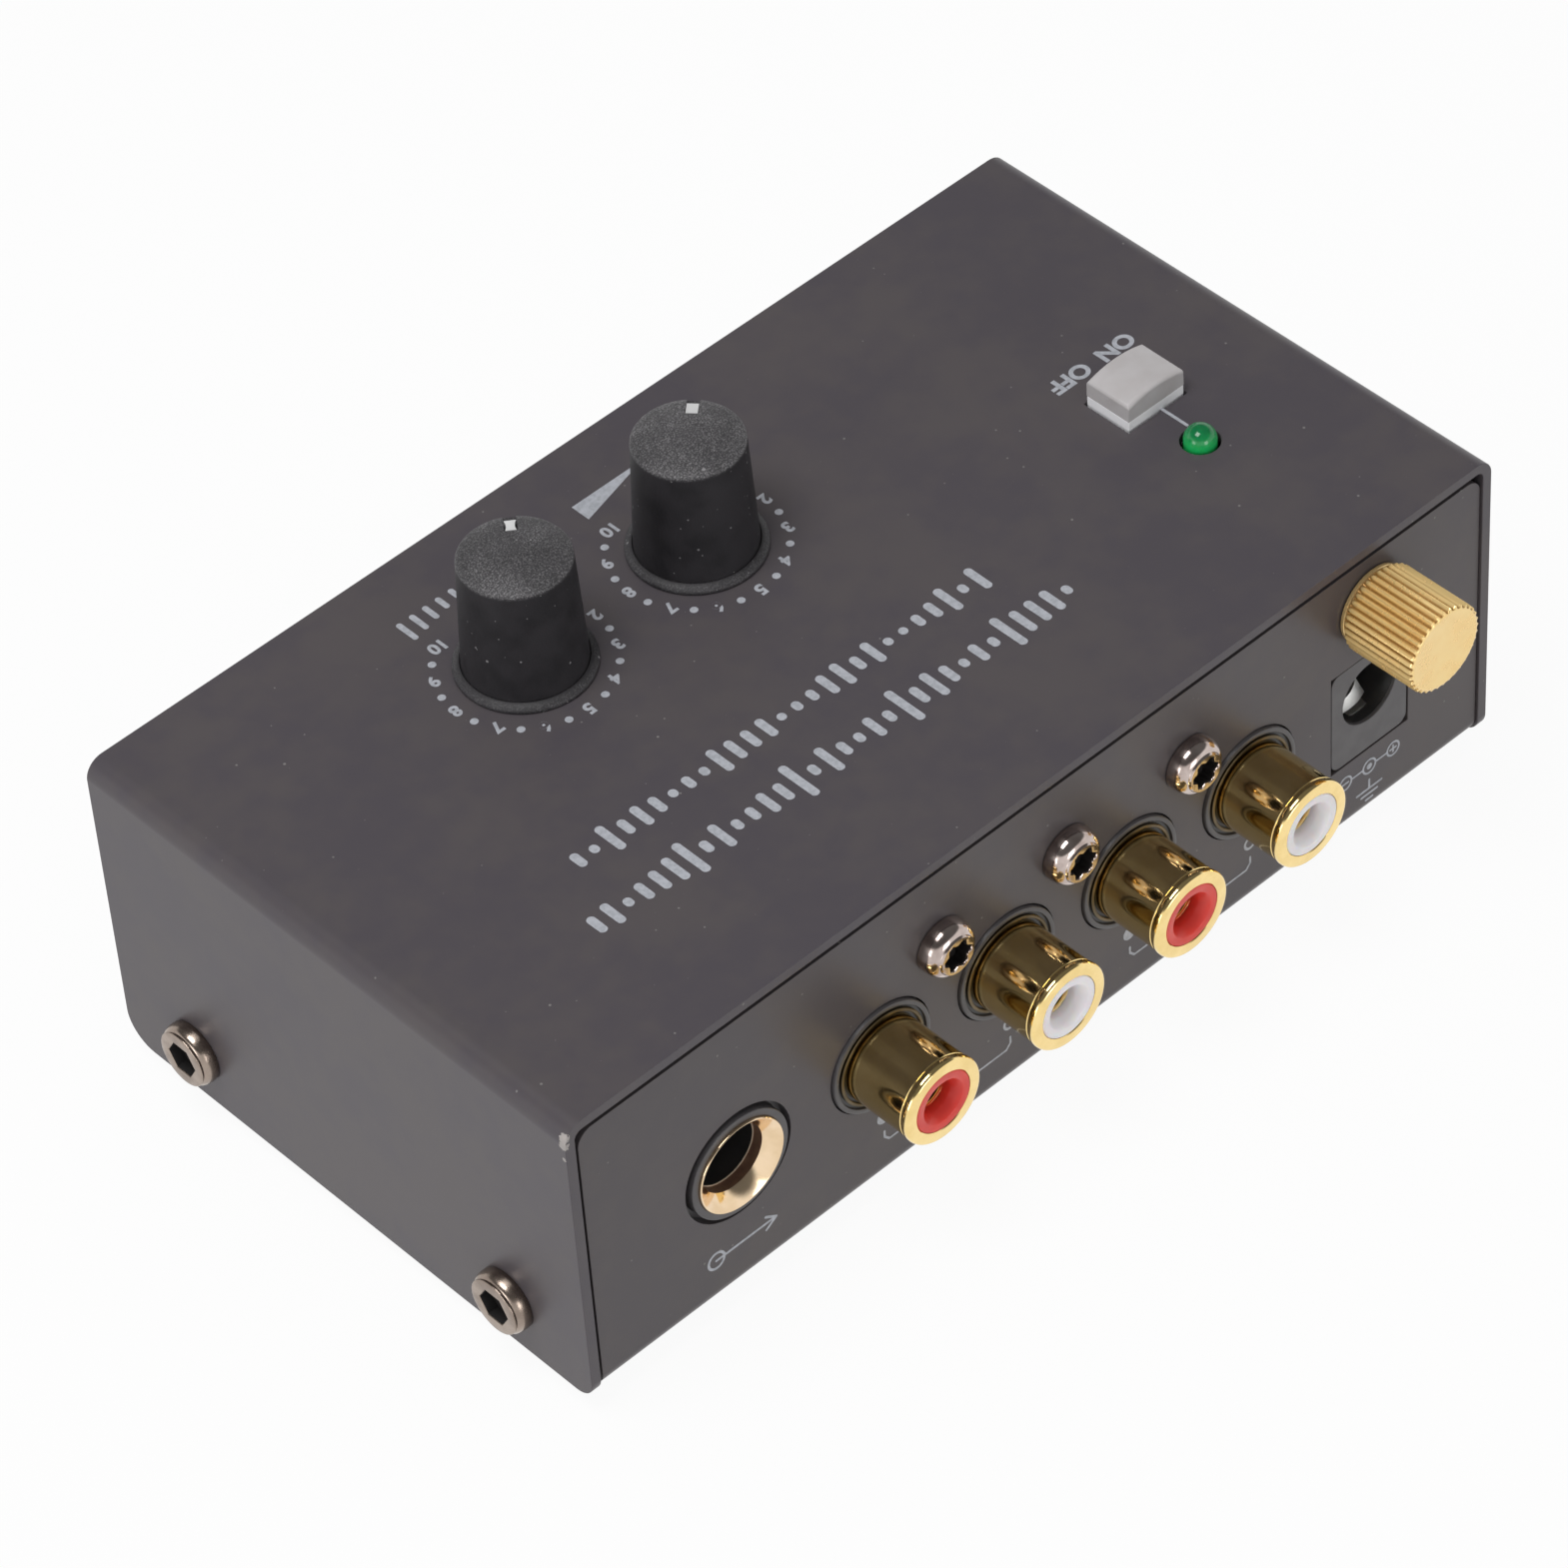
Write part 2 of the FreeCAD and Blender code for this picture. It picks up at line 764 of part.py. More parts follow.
def make_rca_housing():
    """The black moulding that carries all four phono sockets behind the rear panel."""
    body = new_body("rca_housing")
    block(body, ("rca_left - rca_housing_side", "rca_left + (rca_count - 1) * rca_pitch + rca_housing_side"),
          ("rca_tail", "panel_in"), ("board_top", "rca_housing_top"))
    bosses = sketch_on(body, "XZ_Plane", out="-(panel_out + rca_boss_rise)")
    seats = sketch_on(body, "XZ_Plane", out="-(panel_out + rca_boss_rise)")
    contact_ways = sketch_on(body, "XZ_Plane", out="-(rca_back)")
    for place in range(SIZES["rca_count"]):
        circle(bosses, "rca_left + %d * rca_pitch" % place, "rca_z", "rca_boss")
        circle(seats, "rca_left + %d * rca_pitch" % place, "rca_z", "rca_seat")
        circle(contact_ways, "rca_left + %d * rca_pitch" % place, "rca_z", "rca_contact")
    pad(body, bosses, "sheet_thick + rca_boss_rise + rca_seat_deep")
    cut(body, seats, "sheet_thick + rca_boss_rise + rca_seat_deep", towards_normal=True)
    cut(body, contact_ways, "rca_back - rca_tail", towards_normal=True)
    pilots = sketch_on(body, "XZ_Plane", out="-(panel_in)")
    for place in range(SIZES["rca_screw_count"]):
        circle(pilots, "rca_screw_left + %d * rca_pitch" % place, "rca_screw_z", "rca_screw_radius")
    cut(body, pilots, "rca_screw_long - sheet_thick", towards_normal=True)


def make_rca_barrels():
    """Four gold barrels with a rolled front rim and a thin flange on the boss."""
    body = new_body("rca_barrels")
    seat = "panel_out + rca_boss_rise"
    turned_along_y(body, "rca_left", "rca_z", [
        ("rca_barrel_bore", "rca_back"),
        ("rca_seat", "rca_back"),
        ("rca_seat", seat),
        ("rca_flange", seat),
        ("rca_flange", seat + " + rca_flange_thick"),
        ("rca_barrel", seat + " + rca_flange_thick"),
        ("rca_barrel", "rca_face - rca_rim_long / 2"),
        ("rca_rim", "rca_face"),
        ("rca_rim_bore", "rca_face"),
        ("rca_rim_bore", "rca_face - rca_rim_long"),
        ("rca_barrel_bore", "rca_face - rca_rim_long"),
    ])
    repeated(body, "X_Axis", "rca_pitch", "rca_count")


def make_rca_inserts(label, first_x):
    """Two coloured insulators, in every second barrel."""
    body = new_body(label)
    front = "rca_face - rca_face_drop"
    turned_along_y(body, first_x, "rca_z", [
        ("rca_contact", "rca_back"),
        ("rca_barrel_bore", "rca_back"),
        ("rca_barrel_bore", "rca_face - rca_rim_long"),
        ("rca_rim_bore", "rca_face - rca_rim_long"),
        ("rca_rim_bore", front),
        ("rca_funnel", front),
        ("rca_bore", front + " - rca_funnel_deep"),
        ("rca_bore", "rca_face - rca_throat"),
        ("rca_contact", "rca_face - rca_throat"),
    ])
    repeated(body, "X_Axis", "2 * rca_pitch", "rca_count / 2")


def make_rca_contacts():
    """Four spring tubes that take the centre pins, with their tails through the housing's back."""
    body = new_body("rca_contacts")
    turned_along_y(body, "rca_left", "rca_z", [
        ("rca_bore", "rca_tail"),
        ("rca_contact", "rca_tail"),
        ("rca_contact", "rca_face - rca_throat"),
        ("rca_bore", "rca_face - rca_throat"),
    ])
    repeated(body, "X_Axis", "rca_pitch", "rca_count")


def make_rca_screws():
    """Three screws through the rear panel into the socket housing."""
    body = new_body("rca_screws")
    turned_along_y(body, "rca_screw_left", "rca_screw_z", [
        ("0", "panel_out - rca_screw_long"),
        ("rca_screw_radius", "panel_out - rca_screw_long"),
        ("rca_screw_radius", "panel_out"),
        ("rca_head_radius", "panel_out"),
        ("rca_head_radius", "panel_out + rca_head_edge"),
        ("rca_head_shoulder_radius", "panel_out + rca_head_shoulder"),
        ("rca_head_shoulder_radius / 2", "panel_out + rca_head_tall"),
        ("0", "panel_out + rca_head_tall"),
    ])
    recess = sketch_on(body, "XZ_Plane", right="rca_screw_left", up="rca_screw_z",
                       out="-(panel_out + rca_head_tall)")
    hexagon(recess, "recess_radius")
    cut(body, recess, "recess_deep", towards_normal=True)
    repeated(body, "X_Axis", "rca_pitch", "rca_screw_count")


# Output socket


def make_output_jack_body():
    """The black socket body: a hollow box with a round bushing in the panel."""
    body = new_body("output_jack_body")
    block(body, around("jack_x", "jack_half"), ("jack_back", "panel_in"), ("board_top", "jack_top"))
    bushing = sketch_on(body, "XZ_Plane", out="-(panel_out + jack_bushing_rise)")
    circle(bushing, "jack_x", "jack_z", "jack_bushing")
    pad(body, bushing, "sheet_thick + jack_bushing_rise + jack_front_wall")
    seat = sketch_on(body, "XZ_Plane", out="-(panel_out + jack_bushing_rise)")
    circle(seat, "jack_x", "jack_z", "jack_ferrule")
    cut(body, seat, "sheet_thick + jack_bushing_rise + jack_front_wall", towards_normal=True)
    chamber = sketch_on(body, "XZ_Plane", out="-(panel_in - jack_front_wall)")
    rectangle(chamber, "jack_x - jack_half + jack_wall", "board_top + jack_wall / 2",
              "jack_x + jack_half - jack_wall", "jack_top - jack_wall / 2")
    cut(body, chamber, "jack_deep - jack_front_wall - jack_wall", towards_normal=True)


def make_output_jack_ferrule():
    """The gold lining of the output socket, flared at its mouth."""
    body = new_body("output_jack_ferrule")
    turned_along_y(body, "jack_x", "jack_z", [
        ("jack_bore", "jack_face - jack_ferrule_long"),
        ("jack_ferrule", "jack_face - jack_ferrule_long"),
        ("jack_ferrule", "jack_face"),
        ("jack_flare", "jack_face"),
        ("jack_bore", "jack_face - jack_flare_deep"),
    ])


def make_output_jack_leaves():
    """Two contact leaves, above and below the way of the plug."""
    body = new_body("output_jack_leaves")
    leaves = sketch_on(body, "YZ_Plane", up="jack_z", out="jack_x")
    back = "jack_back + jack_wall"
    for side in ("", "-"):
        outline(leaves, [
            (back, side + "(leaf_gap + 2 * leaf_thick)"),
            (back + " + leaf_long", side + "(leaf_gap)"),
            (back + " + leaf_long", side + "(leaf_gap + leaf_thick)"),
            (back, side + "(leaf_gap + 3 * leaf_thick)"),
        ])
    pad(body, leaves, "2 * leaf_half", both_ways=True)


# Direct-current inlet


def make_dc_jack_body():
    """The black inlet, with its face level with the panel."""
    body = new_body("dc_jack_body")
    solid = block(body, around("dc_x", "dc_half"), ("dc_face - dc_deep", "dc_face"), ("dc_bottom", "dc_top"))
    rounded(body, solid, "dc_corner", lambda box: close(box.XLength, 0) and close(box.ZLength, 0))
    mouth = sketch_on(body, "XZ_Plane", out="-(dc_face)")
    circle(mouth, "dc_x", "dc_z", "dc_hole")
    cut(body, mouth, "dc_hole_deep", towards_normal=True)
    slot = sketch_on(body, "XZ_Plane", out="-(dc_face - dc_contact_drop + dc_slot_play)")
    rectangle(slot, "dc_x - dc_contact_half - dc_slot_play", "dc_z - dc_contact_low - dc_slot_play",
              "dc_x + dc_contact_half + dc_slot_play", "dc_z")
    cut(body, slot, "dc_hole_deep - dc_contact_drop + dc_slot_play", towards_normal=True)
    root = sketch_on(body, "XZ_Plane", out="-(dc_face)")
    circle(root, "dc_x", "dc_z", "dc_pin")
    cut(body, root, "dc_hole_deep + dc_pin_root", towards_normal=True)


def make_dc_jack_pin():
    """The inlet's centre pin."""
    body = new_body("dc_jack_pin")
    root = "dc_face - dc_hole_deep - dc_pin_root"
    turned_along_y(body, "dc_x", "dc_z", [
        ("0", root),
        ("dc_pin", root),
        ("dc_pin", "dc_face - dc_pin_drop - dc_pin / 2"),
        ("dc_pin / 2", "dc_face - dc_pin_drop"),
        ("0", "dc_face - dc_pin_drop"),
    ])


def make_dc_jack_contact():
    """The leaf below the pin that touches the plug's sleeve."""
    body = new_body("dc_jack_contact")
    low = "dc_z - dc_contact_low"
    block(body, around("dc_x", "dc_contact_half"), ("dc_face - dc_hole_deep", "dc_face - dc_contact_drop"),
          (low, low + " + dc_contact_thick"))


# Ground terminal


def make_ground_stud():
    """The screw through the rear panel that the thumb nut runs on."""
    body = new_body("ground_stud")
    head = sketch_on(body, "XZ_Plane", right="ground_x", up="ground_z", out="-(stud_head_back)")
    hexagon(head, "stud_head")
    pad(body, head, "stud_head_thick")
    shank = sketch_on(body, "XZ_Plane", right="ground_x", up="ground_z", out="-(panel_out + stud_reach)")
    circle(shank, "0", "0", "stud_radius")
    pad(body, shank, "panel_out + stud_reach - (stud_head_back) + stud_head_thick")


def make_ground_tag():
    """The ring tag inside the panel, with a tail bent to meet the wire."""
    body = new_body("ground_tag")
    ring = sketch_on(body, "XZ_Plane", right="ground_x", up="ground_z", out="-(panel_in)")
    circle(ring, "0", "0", "tag_radius")
    pad(body, ring, "tag_thick")
    arm = sketch_on(body, "XZ_Plane", right="ground_x", up="ground_z", out="-(panel_in)")
    rectangle(arm, "stud_head / 2", "-tag_half", "tag_arm", "tag_half")
    pad(body, arm, "tag_thick")
    block(body, ("ground_x + tag_arm - tag_thick", "ground_x + tag_arm"), ("panel_in - tag_tail", "panel_in"),
          around("ground_z", "tag_half"))
    hole = sketch_on(body, "XZ_Plane", right="ground_x", up="ground_z", out="-(panel_in)")
    circle(hole, "0", "0", "stud_radius")
    cut(body, hole, "tag_thick", towards_normal=True)


def make_ground_wire():
    """The wire from the tag's tail down to the board."""
    body = new_body("ground_wire")
    wire_x = "ground_x + tag_arm - tag_thick / 2"
    start_y = "panel_in - tag_tail"
    route = sketch_on(body, "YZ_Plane", out=wire_x)
    start = Vector(value(start_y), value("ground_z"), 0)
    bend_start = Vector(value("wire_drop_y + wire_bend"), value("ground_z"), 0)
    bend_end = Vector(value("wire_drop_y"), value("ground_z - wire_bend"), 0)
    finish = Vector(value("wire_drop_y"), value("board_top"), 0)
    centre = Vector(bend_start.x, bend_end.y, 0)
    run = route.addGeometry(Part.LineSegment(start, bend_start), False)
    bend = Part.ArcOfCircle(Part.Circle(centre, Vector(0, 0, 1), value("wire_bend")),
                            math.pi / 2, math.pi)
    turn = route.addGeometry(bend, False)
    drop = route.addGeometry(Part.LineSegment(bend_end, finish), False)
    route.addConstraint(Sketcher.Constraint("Coincident", run, 2, turn, 1))
    route.addConstraint(Sketcher.Constraint("Coincident", turn, 2, drop, 1))
    limit(route, "DistanceX", run, 1, start_y)
    limit(route, "DistanceY", run, 1, "ground_z")
    limit(route, "DistanceX", run, 2, "wire_drop_y + wire_bend")
    limit(route, "DistanceY", run, 2, "ground_z")
    limit(route, "DistanceX", drop, 1, "wire_drop_y")
    limit(route, "DistanceY", drop, 1, "ground_z - wire_bend")
    limit(route, "DistanceX", drop, 2, "wire_drop_y")
    limit(route, "DistanceY", drop, 2, "board_top")
    limit(route, "DistanceX", turn, 3, "wire_drop_y + wire_bend")
    section = sketch_on(body, "XZ_Plane", right=wire_x, up="ground_z", out="-(%s)" % start_y)
    circle(section, "0", "0", "wire_radius")
    doc.recompute()
    pipe = body.newObject("PartDesign::AdditivePipe", "ground_wire_pipe")
    pipe.Profile = section
    pipe.Spine = (route, ["Edge1", "Edge2", "Edge3"])
    doc.recompute()


def make_ground_washer():
    """The flat washer that travels with the thumb nut."""
    body = new_body("ground_washer")
    turned_along_y(body, "ground_x", "ground_z", [
        ("washer_hole", "panel_out + washer_gap"),
        ("washer_radius", "panel_out + washer_gap"),
        ("washer_radius", "panel_out + washer_gap + washer_thick"),
        ("washer_hole", "panel_out + washer_gap + washer_thick"),
    ])


def make_ground_nut():
    """The knurled thumb nut, closed at its outer end."""
    body = new_body("ground_nut")
    profile = turned_along_y(body, "ground_x", "ground_z", [
        ("nut_bore", "panel_out + nut_base"),
        ("nut_radius - nut_round", "panel_out + nut_base"),
        ("nut_radius", "panel_out + nut_base + nut_round"),
        ("nut_radius", "panel_out + nut_reach - nut_round"),
        ("nut_radius - nut_round", "panel_out + nut_reach"),
        ("0", "panel_out + nut_reach"),
        ("0", "panel_out + nut_bore_reach"),
        ("nut_bore", "panel_out + nut_bore_reach"),
    ])
    groove_end = sketch_on(body, "XZ_Plane", right="ground_x", up="ground_z", out="-(panel_out + nut_reach)")
    circle(groove_end, "nut_radius + knurl_radius / 2", "0", "knurl_radius")
    groove = cut(body, groove_end, "nut_reach", towards_normal=True)
    knurl = body.newObject("PartDesign::PolarPattern", "ground_nut_knurl")
    knurl.Originals = [groove]
    knurl.Axis = (profile, ["V_Axis"])
    knurl.Angle = 360
    bind(knurl, "Occurrences", "knurl_count")
    body.Tip = knurl
    doc.recompute()


# Dials


def make_knob(label, x_place, rest):
    """A tapered rubber knob with a sloped skirt and a notch for its pointer."""
    body = new_body(label)
    solid = turned_along_z(body, x_place, "knob_y", [
        ("0", "knob_bottom + knob_bore_deep"),
        ("shaft_radius", "knob_bottom + knob_bore_deep"),
        ("shaft_radius", "knob_bottom"),
        ("knob_skirt", "knob_bottom"),
        ("knob_skirt", "knob_bottom + knob_skirt_edge"),
        ("knob_foot", "knob_bottom + knob_foot_rise"),
        ("knob_cap", "knob_bottom + knob_rim"),
        ("0", "knob_bottom + knob_rim + knob_dome"),
    ])
    rim = value("knob_bottom + knob_rim")
    rounded(body, solid, "knob_rim_round", lambda box: close(box.ZMin, rim) and close(box.ZMax, rim))
    notch = sketch_on(body, "XY_Plane", right=x_place, up="knob_y",
                      out="knob_bottom + knob_rim + knob_dome", turn=rest)
    rectangle(notch, "notch_start", "-notch_half", "knob_skirt", "notch_half")
    cut(body, notch, "notch_deep")


def make_pointer(label, x_place, rest):
    """The white mark that lies in a knob's notch."""
    body = new_body(label)
    mark = sketch_on(body, "XY_Plane", right=x_place, up="knob_y",
                     out="knob_bottom + knob_rim + knob_dome - notch_deep", turn=rest)
    rectangle(mark, "pointer_start", "-pointer_half", "pointer_end", "pointer_half")
    pad(body, mark, "pointer_thick")


def make_pot_base(label, x_place):
    """The moulded base of a potentiometer, hollow for its track and wiper."""
    body = new_body(label)
    block(body, around(x_place, "pot_half_x"), around("knob_y", "pot_half_y"),
          ("board_top", "board_top + pot_base_tall"))
    cavity = sketch_on(body, "XY_Plane", out="board_top + pot_base_tall")
    circle(cavity, x_place, "knob_y", "pot_cavity")
    cut(body, cavity, "pot_base_tall - pot_floor")


def make_pot_can(label, x_place):
    """The folded metal can over a potentiometer, with the shaft's collar."""
    body = new_body(label)
    block(body, around(x_place, "pot_half_x"), around("knob_y", "pot_half_y"),
          ("board_top + pot_base_tall", "pot_top"))
    post(body, x_place, "knob_y", "pot_collar", "pot_top", "pot_top + pot_collar_tall")
    bore = sketch_on(body, "XY_Plane", out="pot_top + pot_collar_tall")
    circle(bore, x_place, "knob_y", "shaft_radius + pot_play")
    cut(body, bore)


def make_pot_track(label, x_place):
    """The resistive ring on the floor of a potentiometer."""
    body = new_body(label)
    turned_along_z(body, x_place, "knob_y", [
        ("track_inner", "board_top + pot_floor"),
        ("track_outer", "board_top + pot_floor"),
        ("track_outer", "board_top + pot_floor + track_thick"),
        ("track_inner", "board_top + pot_floor + track_thick"),
    ])


def make_pot_shaft(label, x_place):
    """A potentiometer's shaft, from its track up into the knob."""
    body = new_body(label)
    turned_along_z(body, x_place, "knob_y", [
        ("0", "board_top + pot_floor + track_thick"),
        ("shaft_tip", "board_top + pot_floor + track_thick"),
        ("shaft_tip", "board_top + shaft_step"),
        ("shaft_radius", "board_top + shaft_step"),
        ("shaft_radius", "knob_bottom + knob_bore_deep"),
        ("0", "knob_bottom + knob_bore_deep"),
    ])


def make_pot_wiper(label, x_place):
    """The wiper disc on a shaft, with two fingers over the track."""
    body = new_body(label)
    turned_along_z(body, x_place, "knob_y", [
        ("shaft_radius", "wiper_bottom"),
        ("wiper_radius", "wiper_bottom"),
        ("wiper_radius", "wiper_bottom + wiper_thick"),
        ("shaft_radius", "wiper_bottom + wiper_thick"),
    ])
    fingers = sketch_on(body, "XY_Plane", out="finger_bottom")
    for side in ("-", "+"):
        circle(fingers, "%s %s finger_place" % (x_place, side), "knob_y", "finger_radius")
    pad(body, fingers, "wiper_bottom - finger_bottom + wiper_thick / 2")


def make_pot_terminals():
    """Three legs in front of each potentiometer."""
    body = new_body("pot_terminals")
    block(body, around("level_x - terminal_pitch", "terminal_half"),
          ("knob_y - pot_half_y - terminal_thick", "knob_y - pot_half_y"),
          ("board_top", "board_top + terminal_tall"))
    repeated(body, "X_Axis", "terminal_pitch", "terminal_count")
    repeated(body, "X_Axis", "knob_pitch", "dial_count")


# Power button


def make_switch_housing():
    """The switch body on the board, hollow for the plunger and its spring."""
    body = new_body("switch_housing")
    block(body, around("button_x", "switch_half"), around("button_y", "switch_half"),
          ("board_top", "switch_top"))
    neck = sketch_on(body, "XY_Plane", right="button_x", up="button_y", out="switch_top")
    centred_rectangle(neck, "(plunger_half + plunger_play)", "(plunger_half + plunger_play)")
    cut(body, neck, "switch_top - board_top - switch_floor")
    chamber = sketch_on(body, "XY_Plane", right="button_x", up="button_y", out="switch_roof")
    centred_rectangle(chamber, "switch_cavity", "switch_cavity")
    cut(body, chamber, "switch_roof - board_top - switch_floor")


def make_switch_plunger():
    """The square plunger that the button's stem sits on."""
    body = new_body("switch_plunger")
    block(body, around("button_x", "plunger_flange"), around("button_y", "plunger_flange"),
          ("plunger_bottom", "plunger_bottom + plunger_flange_tall"))
    block(body, around("button_x", "plunger_half"), around("button_y", "plunger_half"),
          ("plunger_bottom", "stem_bottom + stem_socket_deep"))


def make_switch_spring():
    """The coil that lifts the plunger."""
    body = new_body("switch_spring")
    section = sketch_on(body, "XZ_Plane", right="button_x", out="-(button_y)")
    circle(section, "spring_radius", "spring_seat", "spring_wire")
    coil = body.newObject("PartDesign::AdditiveHelix", "switch_spring_coil")
    coil.Profile = section
    coil.ReferenceAxis = (section, ["V_Axis"])
    coil.Mode = "pitch-height-angle"
    bind(coil, "Pitch", "spring_pitch")
    bind(coil, "Height", "plunger_bottom - spring_gap - spring_wire - spring_seat")
    doc.recompute()


def make_switch_terminals():
    """Three legs on each side of the switch."""
    body = new_body("switch_terminals")
    for side in ("-", "+"):
        near = "button_x %s switch_half" % side
        far = "button_x %s (switch_half + terminal_thick)" % side
        x_range = (far, near) if side == "-" else (near, far)
        block(body, x_range, around("button_y - terminal_pitch", "terminal_half"),
              ("board_top", "board_top + terminal_tall"))
    repeated(body, "Y_Axis", "terminal_pitch", "terminal_count")


def make_button_stem():
    """The white post under the button's cap, with a socket for the plunger."""
    body = new_body("button_stem")
    block(body, around("button_x", "button_half_x"), around("button_y", "button_half_y"),
          ("stem_bottom", "case_tall + button_white_rise"))
    socket = sketch_on(body, "XY_Plane", right="button_x", up="button_y", out="stem_bottom")
    centred_rectangle(socket, "plunger_half", "plunger_half")
    cut(body, socket, "stem_socket_deep", towards_normal=True)


def make_button_cap():
    """The grey cap, its top arched along X."""
    body = new_body("button_cap")
    arch = sketch_on(body, "XZ_Plane", right="button_x", out="-(button_y)")
    low = value("case_tall + button_white_rise")
    edge = value("case_tall + button_edge_rise")
    half = value("button_half_x")
    crown = Vector(0, edge + value("button_crown"), 0)
    corners = [Vector(-half, low, 0), Vector(half, low, 0), Vector(half, edge, 0), Vector(-half, edge, 0)]
    for start, finish in zip(corners, corners[1:3]):
        arch.addGeometry(Part.LineSegment(start, finish), False)
    arc = arch.addGeometry(Part.Arc(corners[2], crown, corners[3]), False)
    side = arch.addGeometry(Part.LineSegment(corners[3], corners[0]), False)
    arch.addConstraint(Sketcher.Constraint("Coincident", 0, 2, 1, 1))
    arch.addConstraint(Sketcher.Constraint("Coincident", 1, 2, arc, 1))
    arch.addConstraint(Sketcher.Constraint("Coincident", arc, 2, side, 1))
    arch.addConstraint(Sketcher.Constraint("Coincident", side, 2, 0, 1))
    for geometry, across, up in ((0, "-button_half_x", "case_tall + button_white_rise"),
                                 (1, "button_half_x", "case_tall + button_white_rise"),
                                 (arc, "button_half_x", "case_tall + button_edge_rise"),
                                 (side, "-button_half_x", "case_tall + button_edge_rise")):
        limit(arch, "DistanceX", geometry, 1, across)
        limit(arch, "DistanceY", geometry, 1, up)
    radius = "(button_half_x ^ 2 + button_crown ^ 2) / (2 * button_crown)"
    index = arch.addConstraint(Sketcher.Constraint("Radius", arc, value(radius)))
    arch.setExpression("Constraints[%d]" % index, bound(radius))
    solid = pad(body, arch, "2 * button_half_y", both_ways=True)
    rounded(body, solid, "button_round", lambda box: box.ZMin > edge - NEAR)


# Lamp


def make_lamp():
    """The green lamp: a domed body with a flange at its foot."""
    body = new_body("lamp")
    section = sketch_on(body, "XZ_Plane", right="lamp_x", out="-(lamp_y)")
    radius = value("lamp_radius")
    centre = Vector(0, value("lamp_centre"), 0)
    foot = value("lamp_bottom")
    step = value("lamp_bottom + lamp_flange_tall")
    flange = value("lamp_flange")
    corners = [Vector(0, foot, 0), Vector(flange, foot, 0), Vector(flange, step, 0), Vector(radius, step, 0),
               Vector(radius, centre.y, 0)]
    for start, finish in zip(corners, corners[1:]):
        section.addGeometry(Part.LineSegment(start, finish), False)
    quarter = Part.ArcOfCircle(Part.Circle(centre, Vector(0, 0, 1), radius), 0, math.pi / 2)
    dome = section.addGeometry(quarter, False)
    axis = section.addGeometry(Part.LineSegment(Vector(0, centre.y + radius, 0), corners[0]), False)
    joints = [(0, 2, 1, 1), (1, 2, 2, 1), (2, 2, 3, 1), (3, 2, dome, 1), (dome, 2, axis, 1), (axis, 2, 0, 1)]
    for joint in joints:
        section.addConstraint(Sketcher.Constraint("Coincident", *joint))
    step_height = "lamp_bottom + lamp_flange_tall"
    places = ((0, 1, "0", "lamp_bottom"), (1, 1, "lamp_flange", "lamp_bottom"),
              (2, 1, "lamp_flange", step_height), (3, 1, "lamp_radius", step_height),
              (dome, 1, "lamp_radius", "lamp_centre"), (axis, 1, "0", "lamp_centre + lamp_radius"))
    for geometry, point, across, up in places:
        limit(section, "DistanceX", geometry, point, across)
        limit(section, "DistanceY", geometry, point, up)
    limit(section, "DistanceX", dome, 3, "0")
    turned(body, section)


def make_lamp_leads():
    """The lamp's two leads down to the board."""
    body = new_body("lamp_leads")
    post(body, "lamp_x - lead_spacing / 2", "lamp_y", "lead_radius", "board_top", "lamp_bottom")
    repeated(body, "X_Axis", "lead_spacing", "lead_count")


def make_lamp_spacer():
    """The round spacer that holds the lamp up under its hole."""
    body = new_body("lamp_spacer")
    post(body, "lamp_x", "lamp_y", "spacer_radius", "board_top", "lamp_bottom")
    ways = sketch_on(body, "XY_Plane", out="lamp_bottom")
    for side in ("-", "+"):
        circle(ways, "lamp_x %s lead_spacing / 2" % side, "lamp_y", "lead_radius + lead_play")
    cut(body, ways)


# Components on the board


def make_can_capacitors(label, x_place, y_place, radius, tall, pitch, count):
    """Upright round capacitors in a row."""
    body = new_body(label)
    solid = post(body, x_place, y_place, radius, "board_top", "board_top + " + tall)
    rounded(body, solid, "can_round", lambda box: close(box.ZLength, 0))
    repeated(body, "X_Axis", pitch, count)


def make_film_capacitors():
    """Boxed film capacitors in a row."""
    body = new_body("film_capacitors")
    block(body, around("film_first_x", "film_half_x"), around("film_y", "film_half_y"),
          ("board_top", "board_top + film_tall"))
    repeated(body, "X_Axis", "film_pitch", "film_count")


def make_amplifier_chips():
    """The two amplifier chips."""
    body = new_body("amplifier_chips")
    block(body, around("chip_first_x", "chip_half_x"), around("chip_y", "chip_half_y"),
          ("board_top + chip_lift", "board_top + chip_lift + chip_tall"))
    repeated(body, "X_Axis", "chip_pitch", "chip_count")


def make_chip_legs():
    """Four legs along each side of each chip."""
    body = new_body("chip_legs")
    first = "chip_first_x - (chip_leg_count - 1) / 2 * chip_leg_pitch"
    for side in ("-", "+"):
        near = "chip_y %s chip_half_y" % side
        far = "chip_y %s (chip_half_y + chip_leg_thick)" % side
        y_range = (far, near) if side == "-" else (near, far)
        block(body, around(first, "chip_leg_half"), y_range, ("board_top", "board_top + chip_leg_tall"))
    repeated(body, "X_Axis", "chip_leg_pitch", "chip_leg_count")
    repeated(body, "X_Axis", "chip_pitch", "chip_count")


def make_round_components(label, x_place, y_place, radius, half):
    """A round component lying along Y on the board."""
    body = new_body(label)
    turned_along_y(body, x_place, "board_top + " + radius, [
        ("0", "%s - %s" % (y_place, half)),
        (radius, "%s - %s" % (y_place, half)),
        (radius, "%s + %s" % (y_place, half)),
        ("0", "%s + %s" % (y_place, half)),
    ])
    return body


